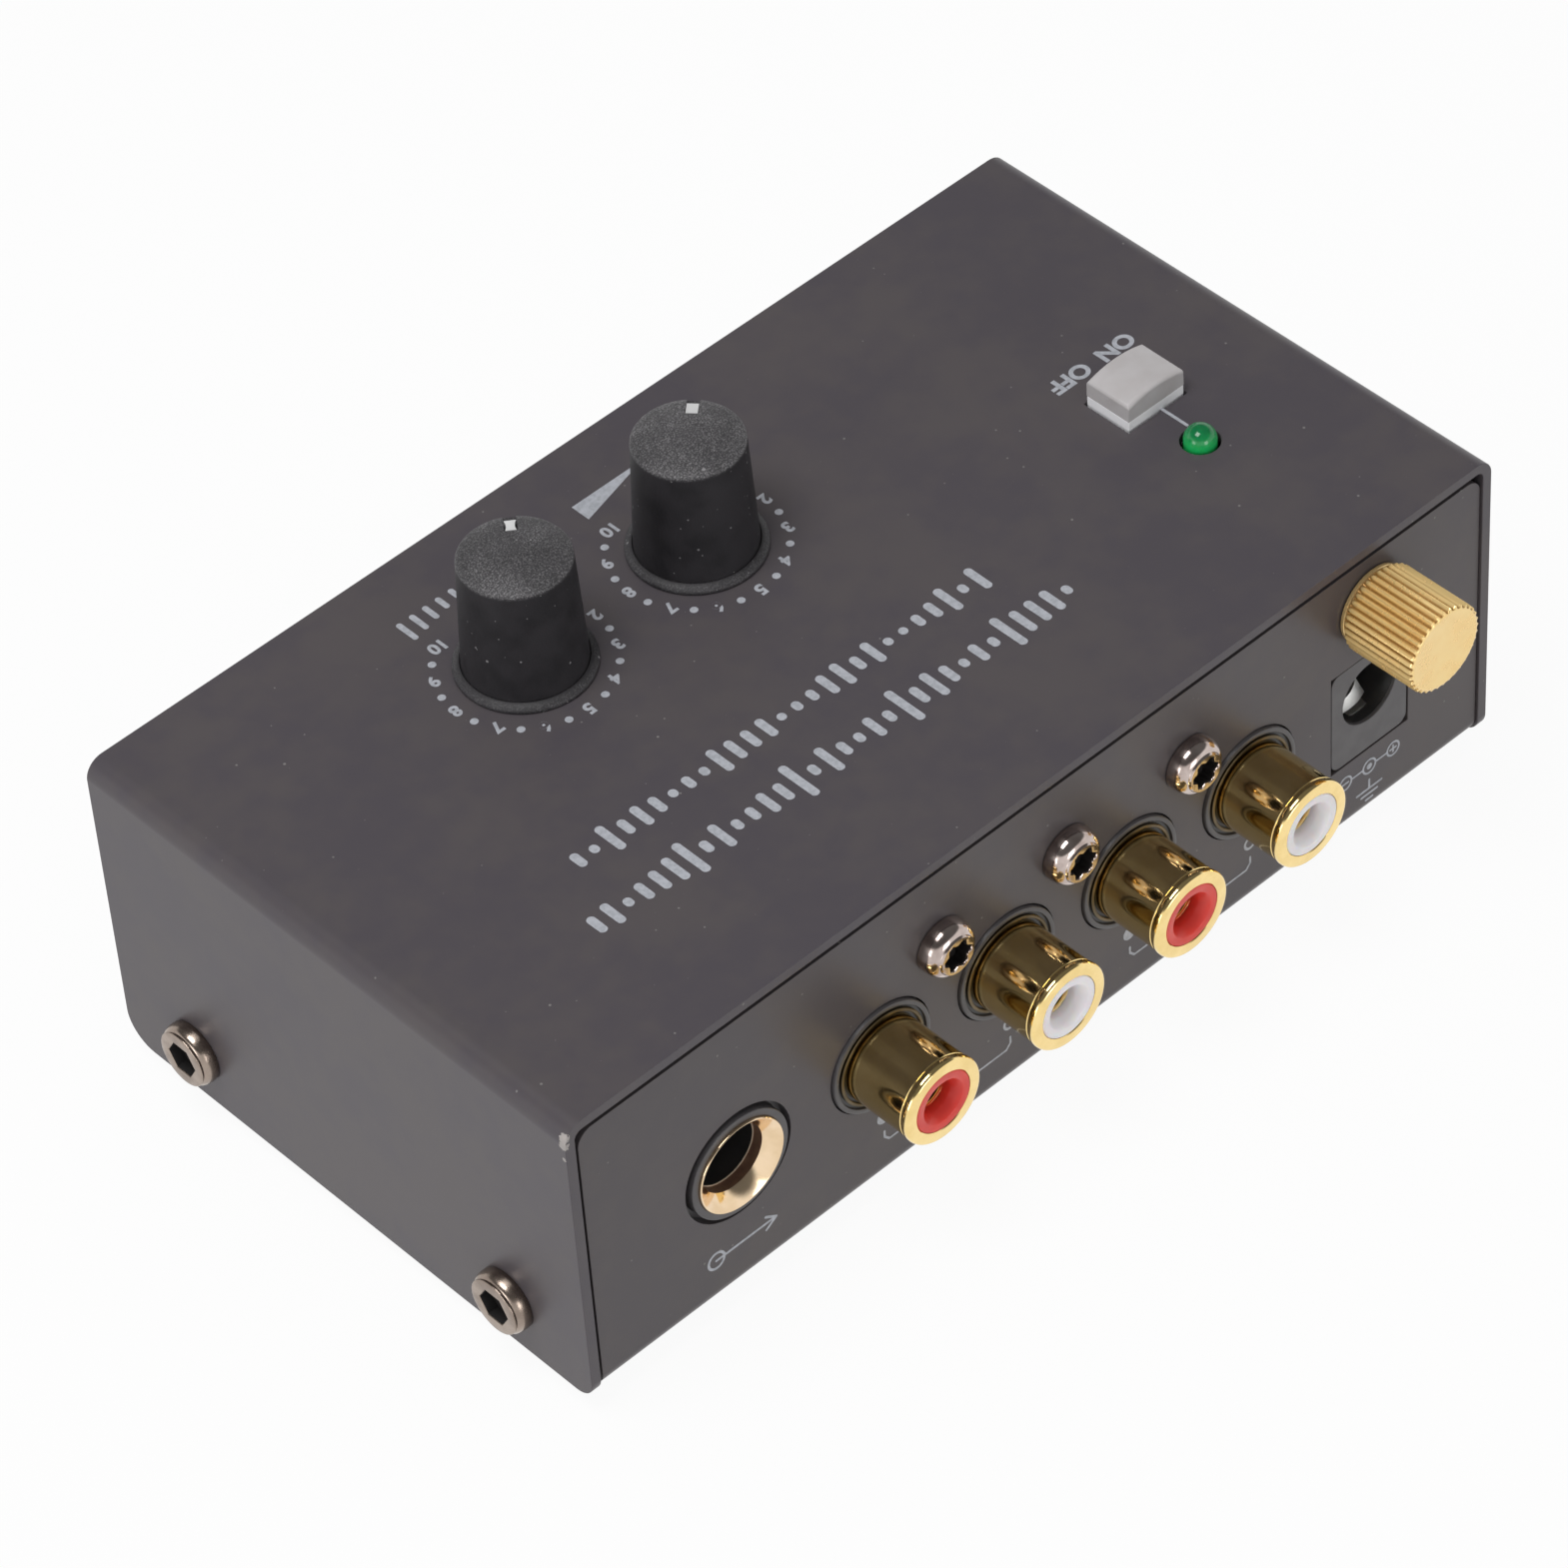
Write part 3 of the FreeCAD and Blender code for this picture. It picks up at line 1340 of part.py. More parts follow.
def make_regulator():
    """The voltage regulator: moulded body, metal tab and three legs."""
    bottom = "board_top + regulator_lift"
    top = bottom + " + regulator_tall"
    front = "regulator_y"
    moulding = new_body("regulator_body")
    block(moulding, around("regulator_x", "regulator_half"), (front, front + " + regulator_thick"),
          (bottom, top))
    tab = new_body("regulator_tab")
    block(tab, around("regulator_x", "regulator_half"), (front + " - regulator_tab_thick", front),
          (bottom, top + " + regulator_tab_tall"))
    legs = new_body("regulator_legs")
    block(legs, around("regulator_x - chip_leg_pitch", "regulator_leg_half"),
          (front + " + regulator_thick / 2", front + " + regulator_thick / 2 + terminal_thick"),
          ("board_top", bottom))
    repeated(legs, "X_Axis", "chip_leg_pitch", "regulator_leg_count")


def make_board_components():
    """Everything else that is soldered to the board."""
    make_can_capacitors("electrolytic_capacitors", "can_first_x", "can_y", "can_radius", "can_tall",
                        "can_pitch", "can_count")
    make_can_capacitors("reservoir_capacitors", "reservoir_x", "reservoir_y", "reservoir_radius",
                        "reservoir_tall", "reservoir_pitch", "reservoir_count")
    make_film_capacitors()
    make_amplifier_chips()
    make_chip_legs()
    resistors = make_round_components("resistors", "resistor_first_x", "resistor_y", "resistor_radius",
                                      "resistor_half")
    repeated(resistors, "X_Axis", "resistor_pitch", "resistor_count")
    make_round_components("protection_diode", "diode_x", "diode_y", "diode_radius", "diode_half")
    make_regulator()


def make_dials():
    """Both dials, each a knob on the shaft of its own potentiometer."""
    for name, x_place, rest in (("level", "level_x", "level_rest"), ("volume", "volume_x", "volume_rest")):
        make_knob(name + "_knob", x_place, rest)
        make_pointer(name + "_pointer", x_place, rest)
        make_pot_shaft(name + "_shaft", x_place)
        make_pot_wiper(name + "_wiper", x_place)
        make_pot_base(name + "_pot_base", x_place)
        make_pot_can(name + "_pot_can", x_place)
        make_pot_track(name + "_track", x_place)
    make_pot_terminals()


def check_document():
    """Stop if any object failed or any piece has no valid solid."""
    for item in doc.Objects:
        if {"Invalid", "Error"} & set(item.State):
            raise ValueError("%s failed: %s" % (item.Label, item.State))
    for piece in pieces:
        shape = piece.Shape
        if shape.isNull() or not shape.isValid() or not shape.Solids:
            raise ValueError(piece.Label + " has no valid solid")


def write_parts():
    """Write each piece to its own file."""
    os.makedirs(PARTS_FOLDER, exist_ok=True)
    for piece in pieces:
        piece.Shape.exportStep(os.path.join(PARTS_FOLDER, piece.Label + ".step"))
        box = piece.Shape.BoundBox
        print("%-24s solids %2d volume %9.2f z %.2f to %.2f"
              % (piece.Label, len(piece.Shape.Solids), piece.Shape.Volume, box.ZMin, box.ZMax))


fill_sheet()
make_top_cover()
make_bottom_tray()
make_rubber_feet()
make_cover_screws()
make_circuit_board()
make_board_standoffs()
make_board_screws()
make_rca_housing()
make_rca_barrels()
make_rca_inserts("rca_inserts_white", "rca_left")
make_rca_inserts("rca_inserts_red", "rca_left + rca_pitch")
make_rca_contacts()
make_rca_screws()
make_output_jack_body()
make_output_jack_ferrule()
make_output_jack_leaves()
make_dc_jack_body()
make_dc_jack_pin()
make_dc_jack_contact()
make_ground_stud()
make_ground_tag()
make_ground_wire()
make_ground_washer()
make_ground_nut()
make_dials()
make_switch_housing()
make_switch_plunger()
make_switch_spring()
make_switch_terminals()
make_button_stem()
make_button_cap()
make_lamp()
make_lamp_leads()
make_lamp_spacer()
make_board_components()
doc.recompute()
check_document()
write_parts()
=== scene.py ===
"""Looks of the phono preamp: painted case, dials, button, sockets, printing and the studio.

Shapes are drawn in millimetres on the face that carries them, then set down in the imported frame.
"""
import functools
import json
import logging
import math
from dataclasses import dataclass
from enum import Enum
from typing import Any, Optional, Sequence, Union

import bmesh
import bpy
from mathutils import Matrix, Vector

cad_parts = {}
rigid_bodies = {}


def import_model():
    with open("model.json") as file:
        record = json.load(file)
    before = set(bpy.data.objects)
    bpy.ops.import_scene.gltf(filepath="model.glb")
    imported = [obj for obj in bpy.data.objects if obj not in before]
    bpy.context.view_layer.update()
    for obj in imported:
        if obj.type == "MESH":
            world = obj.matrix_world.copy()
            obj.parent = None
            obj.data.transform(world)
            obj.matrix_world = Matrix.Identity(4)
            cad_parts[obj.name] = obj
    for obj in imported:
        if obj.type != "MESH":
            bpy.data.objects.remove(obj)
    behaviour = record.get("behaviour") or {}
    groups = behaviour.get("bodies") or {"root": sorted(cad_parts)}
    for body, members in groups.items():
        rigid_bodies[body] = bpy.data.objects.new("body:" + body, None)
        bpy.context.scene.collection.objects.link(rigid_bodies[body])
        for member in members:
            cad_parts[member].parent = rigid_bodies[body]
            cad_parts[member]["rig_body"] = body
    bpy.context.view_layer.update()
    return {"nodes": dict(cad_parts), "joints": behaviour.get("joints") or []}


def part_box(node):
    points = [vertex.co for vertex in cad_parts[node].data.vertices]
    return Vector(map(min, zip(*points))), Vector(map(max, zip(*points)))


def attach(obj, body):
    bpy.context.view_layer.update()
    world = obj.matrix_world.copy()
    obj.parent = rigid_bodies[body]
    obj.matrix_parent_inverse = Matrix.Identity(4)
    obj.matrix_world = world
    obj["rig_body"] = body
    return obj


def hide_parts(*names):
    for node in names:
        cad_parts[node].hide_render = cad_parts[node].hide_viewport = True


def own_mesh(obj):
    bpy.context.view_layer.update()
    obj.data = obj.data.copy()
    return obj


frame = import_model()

MM = 0.001
STEPS = 72
FINE_STEPS = 96
MERGE_MM = 1e-3
SLIVER_MM = 1e-4
FLAT_DEGREES = 0.5
SHARP_DEGREES = 38

Colour = tuple[float, float, float, float]
Point = Sequence[float]
Profile = Sequence[tuple[float, float]]

log = logging.getLogger("preamp")


# Shader maths


class Wire:
    """One output of a shader node, which takes part in sums as a number does."""

    def __init__(self, bench: "Bench", socket: bpy.types.NodeSocket) -> None:
        """Keep the socket and the bench that it belongs to."""
        self.bench = bench
        self.socket = socket

    def _sum(self, operation: str, first: "Value", second: "Value") -> "Wire":
        """Join two values in one Math node."""
        return self.bench.node("ShaderNodeMath", {"operation": operation}, {0: first, 1: second})

    def __add__(self, other: "Value") -> "Wire":
        """Add a number or a wire."""
        return self._sum("ADD", self, other)

    __radd__ = __add__

    def __sub__(self, other: "Value") -> "Wire":
        """Take a number or a wire away."""
        return self._sum("SUBTRACT", self, other)

    def __rsub__(self, other: "Value") -> "Wire":
        """Be taken away from a number."""
        return self._sum("SUBTRACT", other, self)

    def __mul__(self, other: "Value") -> "Wire":
        """Multiply by a number or a wire."""
        return self._sum("MULTIPLY", self, other)

    __rmul__ = __mul__

    def __lt__(self, other: "Value") -> "Wire":
        """Give 1 where this is the smaller value, and 0 elsewhere."""
        return self._sum("LESS_THAN", self, other)

    def __or__(self, other: "Value") -> "Wire":
        """Give the larger of two values."""
        return self._sum("MAXIMUM", self, other)


Value = Union[Wire, float]


class Bench:
    """A material's node tree, laid out by calls."""

    def __init__(self, name: str) -> None:
        """Start a material with its standard surface and the object's own coordinates.

        Args:
            name: the material's name.
        """
        self.material = bpy.data.materials.new(name)
        self.material.use_nodes = True
        self.tree = self.material.node_tree
        self.surface = self.tree.nodes["Principled BSDF"]
        self.place = self.node("ShaderNodeTexCoord", {}, {}, "Object")

    def node(self, kind: str, settings: dict[str, Any], inputs: dict[Any, Any], output: Any = 0) -> Wire:
        """Add a node.

        Args:
            kind: the node's type.
            settings: its properties, which are set first.
            inputs: values or wires for its sockets, by name or number.
            output: the socket to hand back.

        Returns:
            The chosen output as a wire.
        """
        made = self.tree.nodes.new(kind)
        for name, setting in settings.items():
            setattr(made, name, setting)
        for key, value in inputs.items():
            if isinstance(value, Wire):
                self.tree.links.new(value.socket, made.inputs[key])
            else:
                made.inputs[key].default_value = value
        return Wire(self, made.outputs[output])

    def grain(self, size: float, detail: float = 2.0, place: Optional[Wire] = None) -> Wire:
        """Give cloudy noise whose blots are about a size in millimetres."""
        return self.node("ShaderNodeTexNoise", {},
                         {"Vector": place or self.place, "Scale": 1 / (size * MM), "Detail": detail})

    def stretched(self, shares: Point) -> Wire:
        """Give the coordinates multiplied by a share along each axis."""
        return self.node("ShaderNodeVectorMath", {"operation": "MULTIPLY"}, {0: self.place, 1: shares})

    def eased(self, value: Value, low: float, high: float) -> Wire:
        """Turn a span of a value into a smooth step from 0 to 1."""
        return self.node("ShaderNodeMapRange", {"interpolation_type": "SMOOTHSTEP"},
                         {"Value": value, "From Min": low, "From Max": high})

    def blend(self, share: Value, first: Any, second: Any) -> Wire:
        """Mix two colours."""
        return self.node("ShaderNodeMix", {"data_type": "RGBA"}, {0: share, 6: first, 7: second}, 2)

    def specks(self, spacing: float, radius: float, share: float) -> Wire:
        """Give scattered round specks.

        Args:
            spacing: how far apart their cells are, in millimetres.
            radius: the largest speck's radius, in millimetres.
            share: the part of the cells that hold one.

        Returns:
            1 on a speck and 0 elsewhere.
        """
        cells = {"Vector": self.place, "Scale": 1 / (spacing * MM)}
        distance = self.node("ShaderNodeTexVoronoi", {}, cells, "Distance")
        chance = self.node("ShaderNodeTexVoronoi", {}, cells, "Color")
        parts = [self.node("ShaderNodeSeparateColor", {}, {0: chance}, number) for number in range(2)]
        return (distance < parts[0] * (radius / spacing)) * (parts[1] < share)

    def nearness(self, point: Point, radius: float, ragged: float) -> Wire:
        """Give a ragged patch round a point.

        Args:
            point: the patch's middle, in millimetres.
            radius: how far it reaches, in millimetres.
            ragged: the size of the bites in its edge, in millimetres.

        Returns:
            1 inside the patch and 0 outside.
        """
        spot = tuple(value * MM for value in point)
        distance = self.node("ShaderNodeVectorMath", {"operation": "DISTANCE"},
                             {0: self.place, 1: spot}, "Value")
        edge = (self.grain(ragged, 3.0) - 0.5) * (2.5 * ragged * MM)
        return distance + edge < radius * MM

    def bump(self, height: Value, depth: float) -> Wire:
        """Turn a height into a normal, with the relief's depth in millimetres."""
        return self.node("ShaderNodeBump", {}, {"Strength": 1.0, "Distance": depth * MM, "Height": height})

    def lay(self, **sockets: Any) -> None:
        """Set the surface's sockets.

        Args:
            sockets: values or wires by the socket's name, with underscores for spaces.
        """
        for name, value in sockets.items():
            socket = self.surface.inputs[name.replace("_", " ")]
            if isinstance(value, Wire):
                self.tree.links.new(value.socket, socket)
            else:
                socket.default_value = value


def tone(red: float, green: float, blue: float) -> Colour:
    """Give an opaque linear colour."""
    return (red, green, blue, 1.0)


# Finishes


@dataclass(frozen=True)
class Finish:
    """A surface finish that belongs to one material slot of the record."""

    slot: str

    @functools.cache
    def material(self) -> bpy.types.Material:
        """Make the material once, and hand the same one out after that.

        Returns:
            The material.
        """
        bench = Bench("finish_" + self.slot)
        self.paint(bench)
        return bench.material

    def paint(self, bench: Bench) -> None:
        """Lay the finish out on a bench."""
        raise NotImplementedError


@dataclass(frozen=True)
class SheetPaint(Finish):
    """Semi-matt dark coating on the bent sheets, with faint clouds, dust and one chipped corner."""

    cool: Colour = tone(0.082, 0.073, 0.084)
    warm: Colour = tone(0.095, 0.084, 0.088)
    dust: Colour = tone(0.30, 0.29, 0.28)
    primer: Colour = tone(0.50, 0.45, 0.43)
    roughness: float = 0.34
    gloss: float = 0.24
    chip: Optional[tuple[float, float, float]] = None
    chip_spots: Profile = ((0.0, 0.5), (0.8, 0.45), (2.3, 0.2))

    def paint(self, bench: Bench) -> None:
        """Lay clouds, orange peel, dust and the chip.

        Args:
            bench: the bench to lay it out on.
        """
        clouds = bench.grain(16.0, 3.0) * 0.65 + bench.grain(2.5) * 0.35
        colour = bench.blend(bench.eased(clouds, 0.36, 0.64), self.cool, self.warm)
        dusty = bench.specks(1.5, 0.12, 0.4)
        fluff = bench.specks(0.7, 0.045, 0.3)
        colour = bench.blend(dusty * 0.55 + fluff * 0.35, colour, self.dust)
        rough = clouds * 0.08 + (dusty * 0.3 + (self.roughness - 0.04))
        if self.chip:
            bare: Value = 0.0
            for lower, radius in self.chip_spots:
                spot = (self.chip[0], self.chip[1], self.chip[2] - lower)
                bare = bench.nearness(spot, radius, 0.5 * radius) | bare
            colour = bench.blend(bare, colour, bench.blend(bench.grain(0.5), self.primer, self.dust))
            rough = bare * 0.25 + rough
        peel = bench.grain(0.24) * 0.7 + bench.grain(0.07, 3.0) * 0.3
        bench.lay(Base_Color=colour, Roughness=rough, Normal=bench.bump(peel, 0.006),
                  Specular_IOR_Level=self.gloss)


@dataclass(frozen=True)
class SoftRubber(Finish):
    """Soft black rubber that holds dust, with a painted sheen on its crown and skirt."""

    dark: Colour = tone(0.010, 0.009, 0.011)
    worn: Colour = tone(0.018, 0.016, 0.019)
    # This dust colour also serves as the painted sheen on the crown and the skirt.
    dust: Colour = tone(0.36, 0.35, 0.36)
    roughness: float = 0.52
    # Heights that bound the crown and the skirt, which a film of dust and painted sheen lightens.
    crown_mm: Optional[float] = None
    skirt_mm: float = 0.0

    def paint(self, bench: Bench) -> None:
        """Lay a fine skin texture under scattered dust, with a lighter film on the crown and skirt that is
        partly dust and partly painted sheen.

        Args:
            bench: the bench to lay it out on.
        """
        clouds = bench.eased(bench.grain(3.0, 3.0), 0.35, 0.65)
        dusty = bench.specks(1.3, 0.17, 0.4)
        fluff = bench.specks(0.6, 0.075, 0.4)
        colour = bench.blend(clouds, self.dark, self.worn)
        # Painted sheen: the crown and the skirt are lightened with a film that is partly dust and partly a
        # painted highlight.
        if self.crown_mm:
            height = bench.node("ShaderNodeSeparateXYZ", {}, {0: bench.place}, "Z")
            crown = bench.eased(height, (self.crown_mm - 0.25) * MM, (self.crown_mm + 0.15) * MM)
            skirt = 1 - bench.eased(height, self.skirt_mm * MM, (self.skirt_mm + 0.3) * MM)
            drift = bench.eased(bench.grain(4.0), 0.35, 0.65) * 0.5 + 0.75
            film = (bench.eased(bench.grain(0.13, 3.0), 0.4, 0.8) * 0.5 + 0.06) * drift
            colour = bench.blend((skirt * 0.4 | crown) * film, colour, self.dust)
        colour = bench.blend(dusty * 0.6 + fluff * 0.6, colour, self.dust)
        skin = bench.grain(0.11, 3.0) + dusty * 0.6
        bench.lay(Base_Color=colour, Roughness=clouds * 0.08 + (dusty * 0.2 + self.roughness),
                  Normal=bench.bump(skin, 0.014))


@dataclass(frozen=True)
class Plating(Finish):
    """Bare or plated metal, polished or satin, with turning marks along one axis if it has them."""

    bright: Colour
    deep: Colour
    roughness: float
    grain_mm: float = 0.35
    relief: float = 0.002
    marks: Optional[tuple[float, float, float]] = None
    marks_relief: float = 0.003
    metal: float = 1.0

    def paint(self, bench: Bench) -> None:
        """Lay tarnish clouds, fine grain and any turning marks.

        Args:
            bench: the bench to lay it out on.
        """
        clouds = bench.eased(bench.grain(1.8, 3.0), 0.3, 0.7)
        fine = bench.grain(self.grain_mm, 3.0)
        height: Value = fine * self.relief
        if self.marks:
            height = height + bench.grain(0.09, 2.0, bench.stretched(self.marks)) * self.marks_relief
        rough = clouds * (0.4 * self.roughness) + (fine * 0.04 + 0.75 * self.roughness)
        bench.lay(Base_Color=self.colour(bench, clouds), Metallic=self.metal, Roughness=rough,
                  Normal=bench.bump(height, 1.0))

    def colour(self, bench: Bench, clouds: Wire) -> Wire:
        """Give the plating's colour."""
        return bench.blend(clouds, self.bright, self.deep)


@dataclass(frozen=True)
class RidgedPlating(Plating):
    """Plating that stays brown in the valleys between the ridges round an axis along Y."""

    valley: Colour = tone(0.44, 0.23, 0.06)
    axis_x: float = 0.0
    axis_z: float = 0.0
    end: float = 0.0
    low: float = 3.81
    high: float = 3.99
    bevel: float = 0.16

    def colour(self, bench: Bench, clouds: Wire) -> Wire:
        """Give the bright colour on the ridges and on the flat end, and brown in the valleys between.

        Args:
            bench: the bench to lay it out on.
            clouds: where the bright colour turns deeper.

        Returns:
            The colour.
        """
        centre = (self.axis_x * MM, 0.0, self.axis_z * MM)
        reach = bench.node("ShaderNodeVectorMath", {"operation": "DISTANCE"},
                           {0: bench.stretched((1.0, 0.0, 1.0)), 1: centre}, "Value")
        along = bench.node("ShaderNodeSeparateXYZ", {}, {0: bench.place}, "Y")
        ridge = bench.eased(reach, self.low * MM, self.high * MM)
        flat = bench.eased(along, (self.end - self.bevel) * MM, (self.end - self.bevel / 2) * MM)
        return bench.blend(ridge | flat, self.valley, super().colour(bench, clouds))


@dataclass(frozen=True)
class Moulding(Finish):
    """Moulded plastic or another plain opaque skin."""

    light: Colour
    dark: Colour
    roughness: float = 0.4
    grain_mm: float = 0.2
    relief: float = 0.004
    glow: float = 0.0

    def paint(self, bench: Bench) -> None:
        """Lay soft clouds and the mould's fine texture.

        Args:
            bench: the bench to lay it out on.
        """
        clouds = bench.eased(bench.grain(2.4, 2.0), 0.3, 0.7)
        fine = bench.grain(self.grain_mm, 3.0)
        dusty = bench.specks(1.1, 0.07, 0.3)
        colour = bench.blend(clouds, self.light, self.dark)
        colour = bench.blend(dusty * 0.3, colour, tone(0.35, 0.34, 0.33))
        bench.lay(Base_Color=colour, Roughness=clouds * 0.06 + (fine * 0.06 + self.roughness),
                  Normal=bench.bump(fine, self.relief), Subsurface_Weight=self.glow,
                  Subsurface_Scale=0.6 * MM)


@dataclass(frozen=True)
class LampLens(Finish):
    """Tinted lamp moulding, with a painted glow that brightens it towards its foot, where light gathers."""

    crown: Colour = tone(0.004, 0.13, 0.045)
    # The rim colour is a painted glow, where light gathers at the lens's foot.
    rim: Colour = tone(0.02, 0.52, 0.13)
    foot_mm: float = 33.4
    rise_mm: float = 1.5

    def paint(self, bench: Bench) -> None:
        """Lay the tint under a hard clear skin, with a painted glow that brightens it towards the foot.

        Args:
            bench: the bench to lay it out on.
        """
        height = bench.node("ShaderNodeSeparateXYZ", {}, {0: bench.place}, "Z")
        # Painted glow: near the foot the tint turns to the brighter rim colour.
        low = 1 - bench.eased(height, self.foot_mm * MM, (self.foot_mm + self.rise_mm) * MM)
        cloud = bench.grain(0.6) * 0.25
        colour = bench.blend(low * 0.9 + cloud, self.crown, self.rim)
        bench.lay(Base_Color=colour, Roughness=cloud * 0.1 + 0.05, Subsurface_Weight=0.35,
                  Subsurface_Scale=0.8 * MM, IOR=1.5)


@dataclass(frozen=True)
class PrintInk(Finish):
    """Thin pale printing with slightly uneven cover."""

    full: Colour = tone(0.46, 0.475, 0.52)
    thin: Colour = tone(0.36, 0.375, 0.41)

    def paint(self, bench: Bench) -> None:
        """Lay ink that thins in small spots.

        Args:
            bench: the bench to lay it out on.
        """
        cover = bench.eased(bench.grain(0.35, 3.0), 0.35, 0.7)
        bench.lay(Base_Color=bench.blend(cover, self.full, self.thin), Roughness=cover * 0.1 + 0.5,
                  Normal=bench.bump(cover, 0.003))


@dataclass(frozen=True)
class Laminate(Finish):
    """The circuit board's green mask over its copper lines."""

    mask: Colour = tone(0.010, 0.085, 0.030)
    line: Colour = tone(0.030, 0.165, 0.055)

    def paint(self, bench: Bench) -> None:
        """Lay lines under the mask.

        Args:
            bench: the bench to lay it out on.
        """
        cells = {"Vector": bench.place, "Scale": 1 / (3.2 * MM)}
        ways = bench.node("ShaderNodeTexVoronoi", {"feature": "DISTANCE_TO_EDGE"}, cells, "Distance")
        lines = 1 - bench.eased(ways, 0.07, 0.12)
        bench.lay(Base_Color=bench.blend(lines, self.mask, self.line), Roughness=lines * 0.05 + 0.3,
                  Normal=bench.bump(lines, 0.03))


CASE_PAINT = SheetPaint("case_paint", tone(0.082, 0.0725, 0.078), tone(0.095, 0.083, 0.083))
COVER_PAINT = SheetPaint("case_paint", chip=(51.55, 24.2, 32.4))
KNOB_RUBBER = SoftRubber("knob_rubber", crown_mm=45.0, skirt_mm=34.0)
FOOT_RUBBER = SoftRubber("foot_rubber", roughness=0.7)
POLISHED_GOLD = Plating("gold_plate", tone(0.96, 0.74, 0.34), tone(0.88, 0.66, 0.28), 0.08,
                        marks=(0.03, 1.0, 0.03), marks_relief=0.001)
PALE_GOLD = Plating("gold_plate", tone(0.88, 0.68, 0.46), tone(0.80, 0.60, 0.38), 0.12)
SATIN_GOLD = Plating("gold_satin", tone(0.99, 0.72, 0.34), tone(0.93, 0.64, 0.27), 0.24,
                     0.16, 0.005, metal=0.62)
SCREW_NICKEL = Plating("nickel_screw", tone(0.38, 0.31, 0.26), tone(0.27, 0.215, 0.18), 0.24, 0.2, 0.004)
BRIGHT_NICKEL = Plating("bright_screw", tone(0.62, 0.53, 0.49), tone(0.42, 0.34, 0.31), 0.12, 0.45, 0.006)
# Near-black cups set in the screw recesses: painted shade where the hollows fall dark.
SOCKET_PAINTED_SHADE = Moulding("nickel_screw", tone(0.006, 0.005, 0.005), tone(0.012, 0.010, 0.010), 0.6)
# Painted shade: a near-black lining for the six-lobed recesses.
RECESS_PAINTED_SHADE = Moulding("bright_screw", tone(0.006, 0.005, 0.005), tone(0.014, 0.011, 0.010), 0.5)
BLACK_PLASTIC = Moulding("black_plastic", tone(0.022, 0.022, 0.023), tone(0.030, 0.029, 0.030), 0.36)
# Black plastic lightened to the panel's grey: a painted reflection of the white floor in the glossy moulding.
BLACK_PLASTIC_PAINTED_REFLECTION = Moulding("black_plastic", tone(0.074, 0.069, 0.072), tone(0.062, 0.057, 0.060), 0.32)
# Gold plating darkened to brown as painted shade, for the flanges at the barrels' feet.
GOLD_PAINTED_SHADE = Plating("gold_plate", tone(0.15, 0.11, 0.06), tone(0.10, 0.075, 0.04), 0.35)
BRONZE = Plating("gold_plate", tone(0.30, 0.18, 0.12), tone(0.18, 0.10, 0.07), 0.45, 0.15, 0.01, metal=0.5)
# Pale, half-metal gold for the sleeve's lip: a painted highlight, bright whatever it reflects.
LIP_GOLD_PAINTED_HIGHLIGHT = Plating("gold_plate", tone(0.92, 0.80, 0.64), tone(0.84, 0.72, 0.56), 0.3, metal=0.35)
GRAINY_TIN = Plating("tin_plate", tone(0.92, 0.92, 0.90), tone(0.70, 0.70, 0.68), 0.42, 0.12, 0.02)
RED_PLASTIC = Moulding("red_plastic", tone(0.80, 0.055, 0.035), tone(0.72, 0.040, 0.028), 0.3, glow=0.15)
WHITE_PLASTIC = Moulding("white_plastic", tone(0.95, 0.91, 0.93), tone(0.90, 0.86, 0.88), 0.32, glow=0.25)
STEM_WHITE = Moulding("white_plastic", tone(0.96, 0.96, 0.98), tone(0.93, 0.93, 0.96), 0.35)
GREY_PLASTIC = Moulding("grey_plastic", tone(0.53, 0.51, 0.515), tone(0.485, 0.46, 0.46), 0.36)
POINTER_WHITE = Moulding("pointer_white", tone(0.74, 0.74, 0.74), tone(0.62, 0.62, 0.62), 0.5)
LAMP_GREEN = LampLens("lamp_green")
TIN = Plating("tin_plate", tone(0.72, 0.72, 0.70), tone(0.58, 0.58, 0.56), 0.26)
INK = PrintInk("pointer_white")

FINISHES = {finish.slot: finish for finish in (
    CASE_PAINT, KNOB_RUBBER, FOOT_RUBBER, POLISHED_GOLD, SATIN_GOLD, SCREW_NICKEL, BRIGHT_NICKEL,
    BLACK_PLASTIC, RED_PLASTIC, WHITE_PLASTIC, GREY_PLASTIC, POINTER_WHITE, LAMP_GREEN, TIN,
    Plating("plated_steel", tone(0.62, 0.62, 0.61), tone(0.48, 0.48, 0.47), 0.3),
    Plating("spring_steel", tone(0.55, 0.55, 0.56), tone(0.42, 0.42, 0.43), 0.25),
    Plating("copper_wire", tone(0.84, 0.42, 0.26), tone(0.62, 0.28, 0.16), 0.3),
    Laminate("board_green"),
    Moulding("track_carbon", tone(0.020, 0.020, 0.020), tone(0.035, 0.033, 0.032), 0.7, 0.08, 0.01),
    Moulding("pot_brown", tone(0.19, 0.085, 0.035), tone(0.14, 0.060, 0.026), 0.5),
    Moulding("can_sleeve", tone(0.012, 0.020, 0.060), tone(0.010, 0.014, 0.040), 0.3),
    Moulding("film_box", tone(0.42, 0.030, 0.022), tone(0.34, 0.022, 0.018), 0.35),
    Moulding("resistor_coat", tone(0.16, 0.34, 0.47), tone(0.13, 0.28, 0.40), 0.4),
    Moulding("shaft_plastic", tone(0.55, 0.53, 0.48), tone(0.47, 0.45, 0.41), 0.4),
)}


# Shapes


